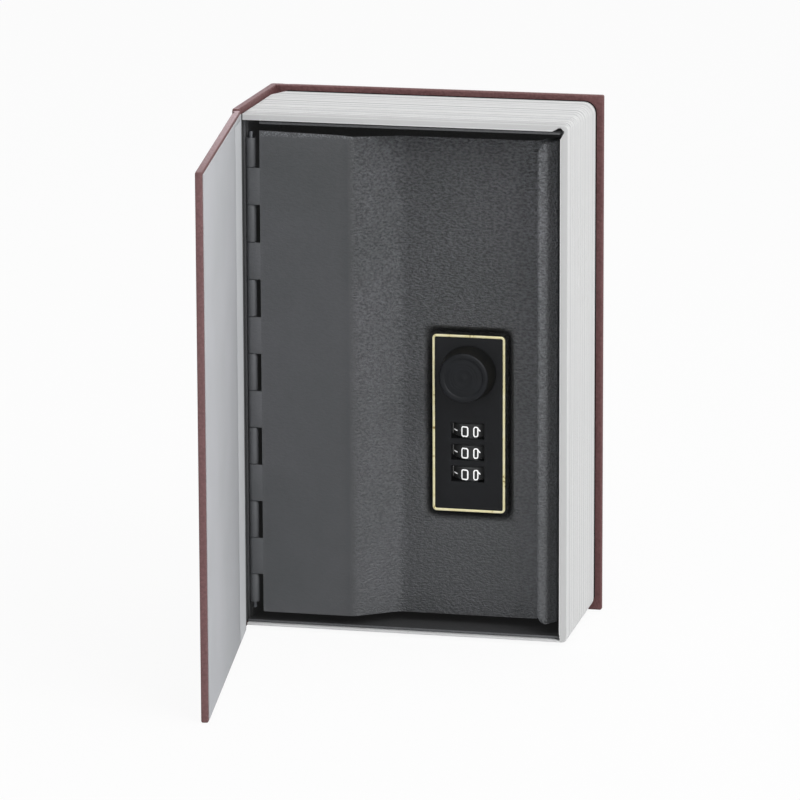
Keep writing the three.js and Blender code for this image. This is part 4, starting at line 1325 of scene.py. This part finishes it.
def lockFace():
    # built from strips round the windows, so each window is a true opening
    rim = lock["faceInset"]
    x0, x1, z0, z1 = plateLow.x + rim, plateHigh.x - rim, plateLow.z + rim, plateHigh.z - rim
    left, right = lockX - lock["windowLeft"], lockX + lock["windowRight"]
    tall = lock["windowTall"]
    bm = bmesh.new()
    outline = roundedPoints(x0, x1, z0, z1, lock["corner"] - rim, 8)
    bm.faces.new([bm.verts.new(at(x, lock["faceY"], z)) for x, z in outline])
    geometry = lambda: bm.verts[:] + bm.edges[:] + bm.faces[:]
    for x in (left, right):
        bmesh.ops.bisect_plane(bm, geom=geometry(), plane_co=at(x, 0, 0), plane_no=(1, 0, 0))
    for dial in dialMiddles:
        for z in (dial.z - tall, dial.z + tall):
            bmesh.ops.bisect_plane(bm, geom=geometry(), plane_co=at(0, 0, z), plane_no=(0, 0, 1))
    windows = []
    for face in bm.faces:
        place = (face.calc_center_median() - corner) / mm
        if left < place.x < right and any(abs(place.z - d.z) < tall for d in dialMiddles):
            windows.append(face)
    bmesh.ops.delete(bm, geom=windows, context="FACES_ONLY")
    loose = [e for e in bm.edges if not e.link_faces]
    bmesh.ops.delete(bm, geom=loose, context="EDGES")
    thickened(bm, Vector((0, lock["face"] * mm, 0)), True)
    front = yAt(lock["faceY"])
    bevelSharp(bm, 60, lock["windowEase"], 3, lambda e: all(abs(v.co.y - front) < 1e-6 for v in e.verts))
    return bm


def lockBody():
    # the face plate with the body behind it: four walls round the dials and a block round the knob's shaft
    bm = lockFace()
    half = lock["bodyHalf"]
    tall = (housingHigh.z - housingLow.z) * lock["bodyShare"] / 2
    room = dialRadius + lock["dialRoom"]
    roomLow = dialMiddles[2].z - dialPitch / 2 - 0.3
    roomHigh = dialMiddles[0].z + dialPitch / 2 + 0.3
    y0, y1 = lock["faceY"] + lock["face"] - 0.1, housingHigh.y
    for x0, x1, z0, z1 in [
        (-half, half, lockZ - tall, roomLow),
        (-half, half, roomHigh, lockZ + tall),
        (-half, -room, roomLow - 1, roomHigh + 1),
        (room, half, roomLow - 1, roomHigh + 1),
    ]:
        mergeInto(bm, boxMesh((lockX + x0, y0, z0), (lockX + x1, y1, z1), lock["bodyEdge"]))
    finishPiece("lock_face_and_body", bm, "plate", "door", "lock_housing", smooth=35)


def goldRim():
    # the raised gold coloured rim round the face, with round edges
    front, back = plateLow.y, lock["faceY"] + lock["rimSunk"]
    bm = bmesh.new()
    edges = []
    for w in (0, lock["rim"]):
        loop = roundedPoints(
            plateLow.x + w, plateHigh.x - w, plateLow.z + w, plateHigh.z - w, lock["corner"] - w, 10)
        verts = [bm.verts.new(at(x, front, z)) for x, z in loop]
        edges += [bm.edges.new((verts[i - 1], verts[i])) for i in range(len(verts))]
    bmesh.ops.bridge_loops(bm, edges=edges)
    thickened(bm, Vector((0, (back - front) * mm, 0)), True)
    bevelSharp(bm, 60, lock["rimEdge"], 3)
    finishPiece("gold_rim", bm, "gold", "door", "gold_bezel", smooth=40)


def backCover():
    # the lock's back, screwed on, with eased edges
    bm = boxMesh(*span("lock_back_cover"), lock["backEdge"], 3)
    finishPiece("lock_back_plate", bm, "plate", "door", "lock_back_cover", smooth=35)


screw = {"shank": 1, "headTall": 1.1, "brim": 0.35, "crossHalf": 0.32, "crossShare": 0.62, "crossDeep": 0.06}


def crossScrew(name):
    # a pan head screw with a cross recess in its crown, drawn as a dark cross of painted shade
    low, high = span(name)
    x, tip, z = (low.x + high.x) / 2, low.y, (low.z + high.z) / 2
    head, shank = (high.x - low.x) / 2, screw["shank"]
    top, seat = high.y, high.y - screw["headTall"]
    brim = seat + screw["brim"]
    profile = [(0, tip), (shank - 0.3, tip), (shank, tip - 0.4), (shank, seat), (head, seat), (head, brim)]
    profile += [(r, brim + h) for r, h in dome(head, top - brim, 5)[1:]]
    # the recess is a dark piece laid over the crown: painted shade
    recess = bmesh.new()
    narrow, long = screw["crossHalf"], head * screw["crossShare"]
    for wide, tall in ((narrow, long), (long, narrow)):
        low = (x - wide, top - screw["crossDeep"], z - tall)
        mergeInto(recess, boxMesh(low, (x + wide, top + 0.02, z + tall), 0.05, 1))
    finishPiece(name + "_recess_painted_shade", recess, "dial", "door", smooth=30)
    bm = turned(profile, at(x, 0, z), (0, 1, 0), 24)
    finishPiece(name + "_turned", bm, "steel", "door", name, smooth=40)


def lockScrews():
    for name in ("plate_screw_1", "plate_screw_2", "lock_cover_screw_1", "lock_cover_screw_2"):
        crossScrew(name)


lockBody()
goldRim()
backCover()
lockScrews()
print("lock body made")


# knob, shaft and cam

knobShape = {
    "radius": (knobHigh.x - knobLow.x) / 2,
    "taper": 0.9,
    "round": 0.9,
    "dish": 6.5,
    "dishDeep": 0.35,
    "ridge": 0.07,
    "ridges": 3,
    "ridgeStart": 3.1,
    "ridgePitch": 0.95,
    "ridgeHalf": 0.22,
    "steps": 72,
    "camHalf": 4,
}


def knobTurned():
    # a round knob: flat ring, dished middle with faint turned ridges, soft front edge
    front, back = knobLow.y, knobHigh.y
    k = knobShape
    deep = front + k["dishDeep"]
    profile = [(0, deep - 0.12), (0.8, deep - 0.1), (1.3, deep)]
    for i in range(k["ridges"]):
        r = k["ridgeStart"] + i * k["ridgePitch"]
        profile += [(r - k["ridgeHalf"], deep), (r, deep - k["ridge"]), (r + k["ridgeHalf"], deep)]
    profile += [(k["dish"], deep), (k["dish"] + 0.25, front + 0.12), (k["dish"] + 0.6, front)]
    rim = k["radius"] - k["taper"]
    profile += arc((rim - k["round"], front + k["round"]), k["round"], 270, 360, 6)
    profile += [(k["radius"], back - 0.3), (k["radius"] - 0.3, back), (0, back)]
    bm = turned(profile, at(knobMiddle.x, 0, knobMiddle.z), (0, 1, 0), k["steps"])
    # the side faces take a darker black: painted shade
    for face in bm.faces:
        face.material_index = 1 if abs(face.normal.y) < 0.4 else 0
    piece = finishPiece("turned_knob", bm, "knob", "knob_and_cam", "knob", smooth=38)
    piece.data.materials.append(finish["knobSide"])


def roundAlongY(name, newName, edge):
    # a plain turned piece on the knob's line, with eased ends
    low, high = span(name)
    r = (high.x - low.x) / 2
    profile = [(0, low.y), (r - edge, low.y), (r, low.y + edge)]
    profile += [(r, high.y - edge), (r - edge, high.y), (0, high.y)]
    bm = turned(profile, at(knobMiddle.x, 0, knobMiddle.z), (0, 1, 0), 40)
    finishPiece(newName, bm, "steel", "knob_and_cam", name, smooth=35)


def camPlate():
    # a stamped cam with a round hub and a round tip
    low, high = span("locking_cam")
    hub = (high.x - low.x) / 2
    half = knobShape["camHalf"]
    start = math.degrees(math.acos(half / hub))
    outline = arc((knobMiddle.x, knobMiddle.z), hub, 180 - start, 360 + start, 30)
    outline += arc((knobMiddle.x, high.z - half), half, 0, 180, 12)
    bm = facing(outline, low.y, high.y)
    bevelSharp(bm, 60, 0.25, 2)
    finishPiece("stamped_cam", bm, "steel", "knob_and_cam", "locking_cam", smooth=30)


def camNut():
    low, high = span("cam_nut")
    r = (high.z - low.z) / 2
    turns = [math.pi / 3 * i for i in range(6)]
    outline = [(knobMiddle.x + r * math.sin(t), knobMiddle.z + r * math.cos(t)) for t in turns]
    bm = facing(outline, low.y, high.y)
    bevelSharp(bm, 50, 0.3, 2)
    finishPiece("cam_hex_nut", bm, "steel", "knob_and_cam", "cam_nut", smooth=30)


knobTurned()
roundAlongY("knob_shaft", "knob_shaft_turned", 0.3)
roundAlongY("cam_washer", "cam_washer_flat", 0.08)
camPlate()
camNut()
print("knob and cam made")


# number wheels

wheel = {
    "chamfer": 0.45,
    "steps": 80,
    "restTurn": 13,
    "stroke": 0.23,
    "figureWide": 3.7,
    "figureTall": 2.65,
    "figureDrop": 0.35,
    "proud": 0.02,
    "flatness": 0.08,
}

# strokes of the ten figures on a unit square, across then up
figures = {
    0: [[(0.12, 0), (0.88, 0), (1, 0.16), (1, 0.84), (0.88, 1), (0.12, 1), (0, 0.84), (0, 0.16), (0.12, 0)]],
    1: [[(0.53, 1), (0.48, 0)]],
    2: [[(0, 0.78), (0.18, 1), (0.82, 1), (1, 0.8), (1, 0.62), (0, 0), (1, 0)]],
    3: [[(0, 1), (1, 1), (0.45, 0.6), (0.82, 0.56), (1, 0.38), (1, 0.18), (0.82, 0), (0.18, 0), (0, 0.2)]],
    4: [[(0.72, 0), (0.72, 1), (0, 0.3), (1, 0.3)]],
    5: [[(0.92, 1), (0.1, 1), (0, 0.55), (0.8, 0.6), (1, 0.42), (1, 0.18), (0.82, 0), (0.18, 0), (0, 0.16)]],
    6: [[
        (0.45, 1), (0, 0.45), (0, 0.14), (0.14, 0), (0.86, 0), (1, 0.14), (1, 0.5), (0.86, 0.62),
        (0.1, 0.62), (0, 0.45)]],
    7: [[(0, 1), (1, 1), (0.35, 0)]],
    8: [
        [(0.2, 0.52), (0.05, 0.66), (0.05, 0.88), (0.2, 1), (0.8, 1), (0.95, 0.88), (0.95, 0.66),
         (0.8, 0.52), (0.2, 0.52)],
        [(0.2, 0.52), (0, 0.38), (0, 0.14), (0.18, 0), (0.82, 0), (1, 0.14), (1, 0.38), (0.8, 0.52)],
    ],
    9: [[
        (0.55, 0), (1, 0.55), (1, 0.86), (0.86, 1), (0.14, 1), (0, 0.86), (0, 0.5), (0.14, 0.38),
        (0.9, 0.38), (1, 0.55)]],
}


def figureStrokes(strokes):
    # the strokes as a flat tube mesh in millimetres: X round the wheel, Z along it, Y out
    data = bpy.data.curves.new("strokes", "CURVE")
    data.dimensions = "3D"
    data.bevel_depth = wheel["stroke"]
    data.bevel_resolution = 1
    data.use_fill_caps = True
    inset = 2 * wheel["stroke"]
    for corners in strokes:
        # short steps, so that a stroke follows the wheel's curve
        stroke = [corners[0]]
        for (a0, u0), (a1, u1) in zip(corners, corners[1:]):
            stroke += [(a0 + (a1 - a0) * i / 4, u0 + (u1 - u0) * i / 4) for i in range(1, 5)]
        spline = data.splines.new("POLY")
        spline.points.add(len(stroke) - 1)
        for point, (across, up) in zip(spline.points, stroke):
            along = (up - 0.5) * (wheel["figureTall"] - inset)
            point.co = (-along, 0, (across - 0.5) * (wheel["figureWide"] - inset), 1)
    carrier = bpy.data.objects.new("strokes", data)
    bpy.context.scene.collection.objects.link(carrier)
    bpy.context.view_layer.update()
    mesh = bpy.data.meshes.new_from_object(carrier)
    bm = bmesh.new()
    bm.from_mesh(mesh)
    bpy.data.meshes.remove(mesh)
    bpy.data.objects.remove(carrier)
    bpy.data.curves.remove(data)
    return bm


def wrapped(bm, dial, turn):
    # bends the flat figure round the wheel at an angle from its front
    for vert in bm.verts:
        angle = math.radians(turn) + vert.co.x / dialRadius
        radius = dialRadius + wheel["proud"] + vert.co.y * -wheel["flatness"]
        x = dial.x + radius * math.sin(angle)
        y = dial.y - radius * math.cos(angle)
        vert.co = at(x, y, dial.z - wheel["figureDrop"] + vert.co.z)


def numberWheels():
    c = wheel["chamfer"]
    for number, (dial, word) in enumerate(zip(dialMiddles, ("one", "two", "three")), 1):
        body, node = "dial_" + word, "dial_%d" % number
        low, high = span(node)
        half = (high.z - low.z) / 2
        bore = span("code_ring_%d" % number)[1].x - dial.x + 0.1
        profile = [(bore, -half), (dialRadius - c, -half), (dialRadius, c - half), (dialRadius, half - c)]
        profile += [(dialRadius - c, half), (bore, half), (bore, -half)]
        bm = turned(profile, at(*dial), (0, 0, 1), wheel["steps"])
        # the chamfers take a paler black: a painted highlight
        for face in bm.faces:
            face.material_index = 1 if 0.3 < abs(face.normal.z) < 0.9 else 0
        piece = finishPiece("number_wheel_%d" % number, bm, "dial", body, node, smooth=32)
        piece.data.materials.append(finish["dialEdge"])
        ink = bmesh.new()
        for figure, strokes in figures.items():
            shape = figureStrokes(strokes)
            wrapped(shape, dial, -wheel["restTurn"] - 36 * figure)
            mergeInto(ink, shape)
        finishPiece("wheel_figures_%d" % number, ink, "ink", body, smooth=60)


numberWheels()
print("number wheels made")


# pieces that keep their CAD shape get a finish of their own

steelNodes = ("dial_shaft", "detent_spring", "code_ring_1", "code_ring_2", "code_ring_3", "reset_lever")
for node, obj in frame["nodes"].items():
    for slot in obj.material_slots:
        slot.material = finish["steel" if node in steelNodes else "coat"]

bpy.context.scene.view_settings.view_transform = "Standard"
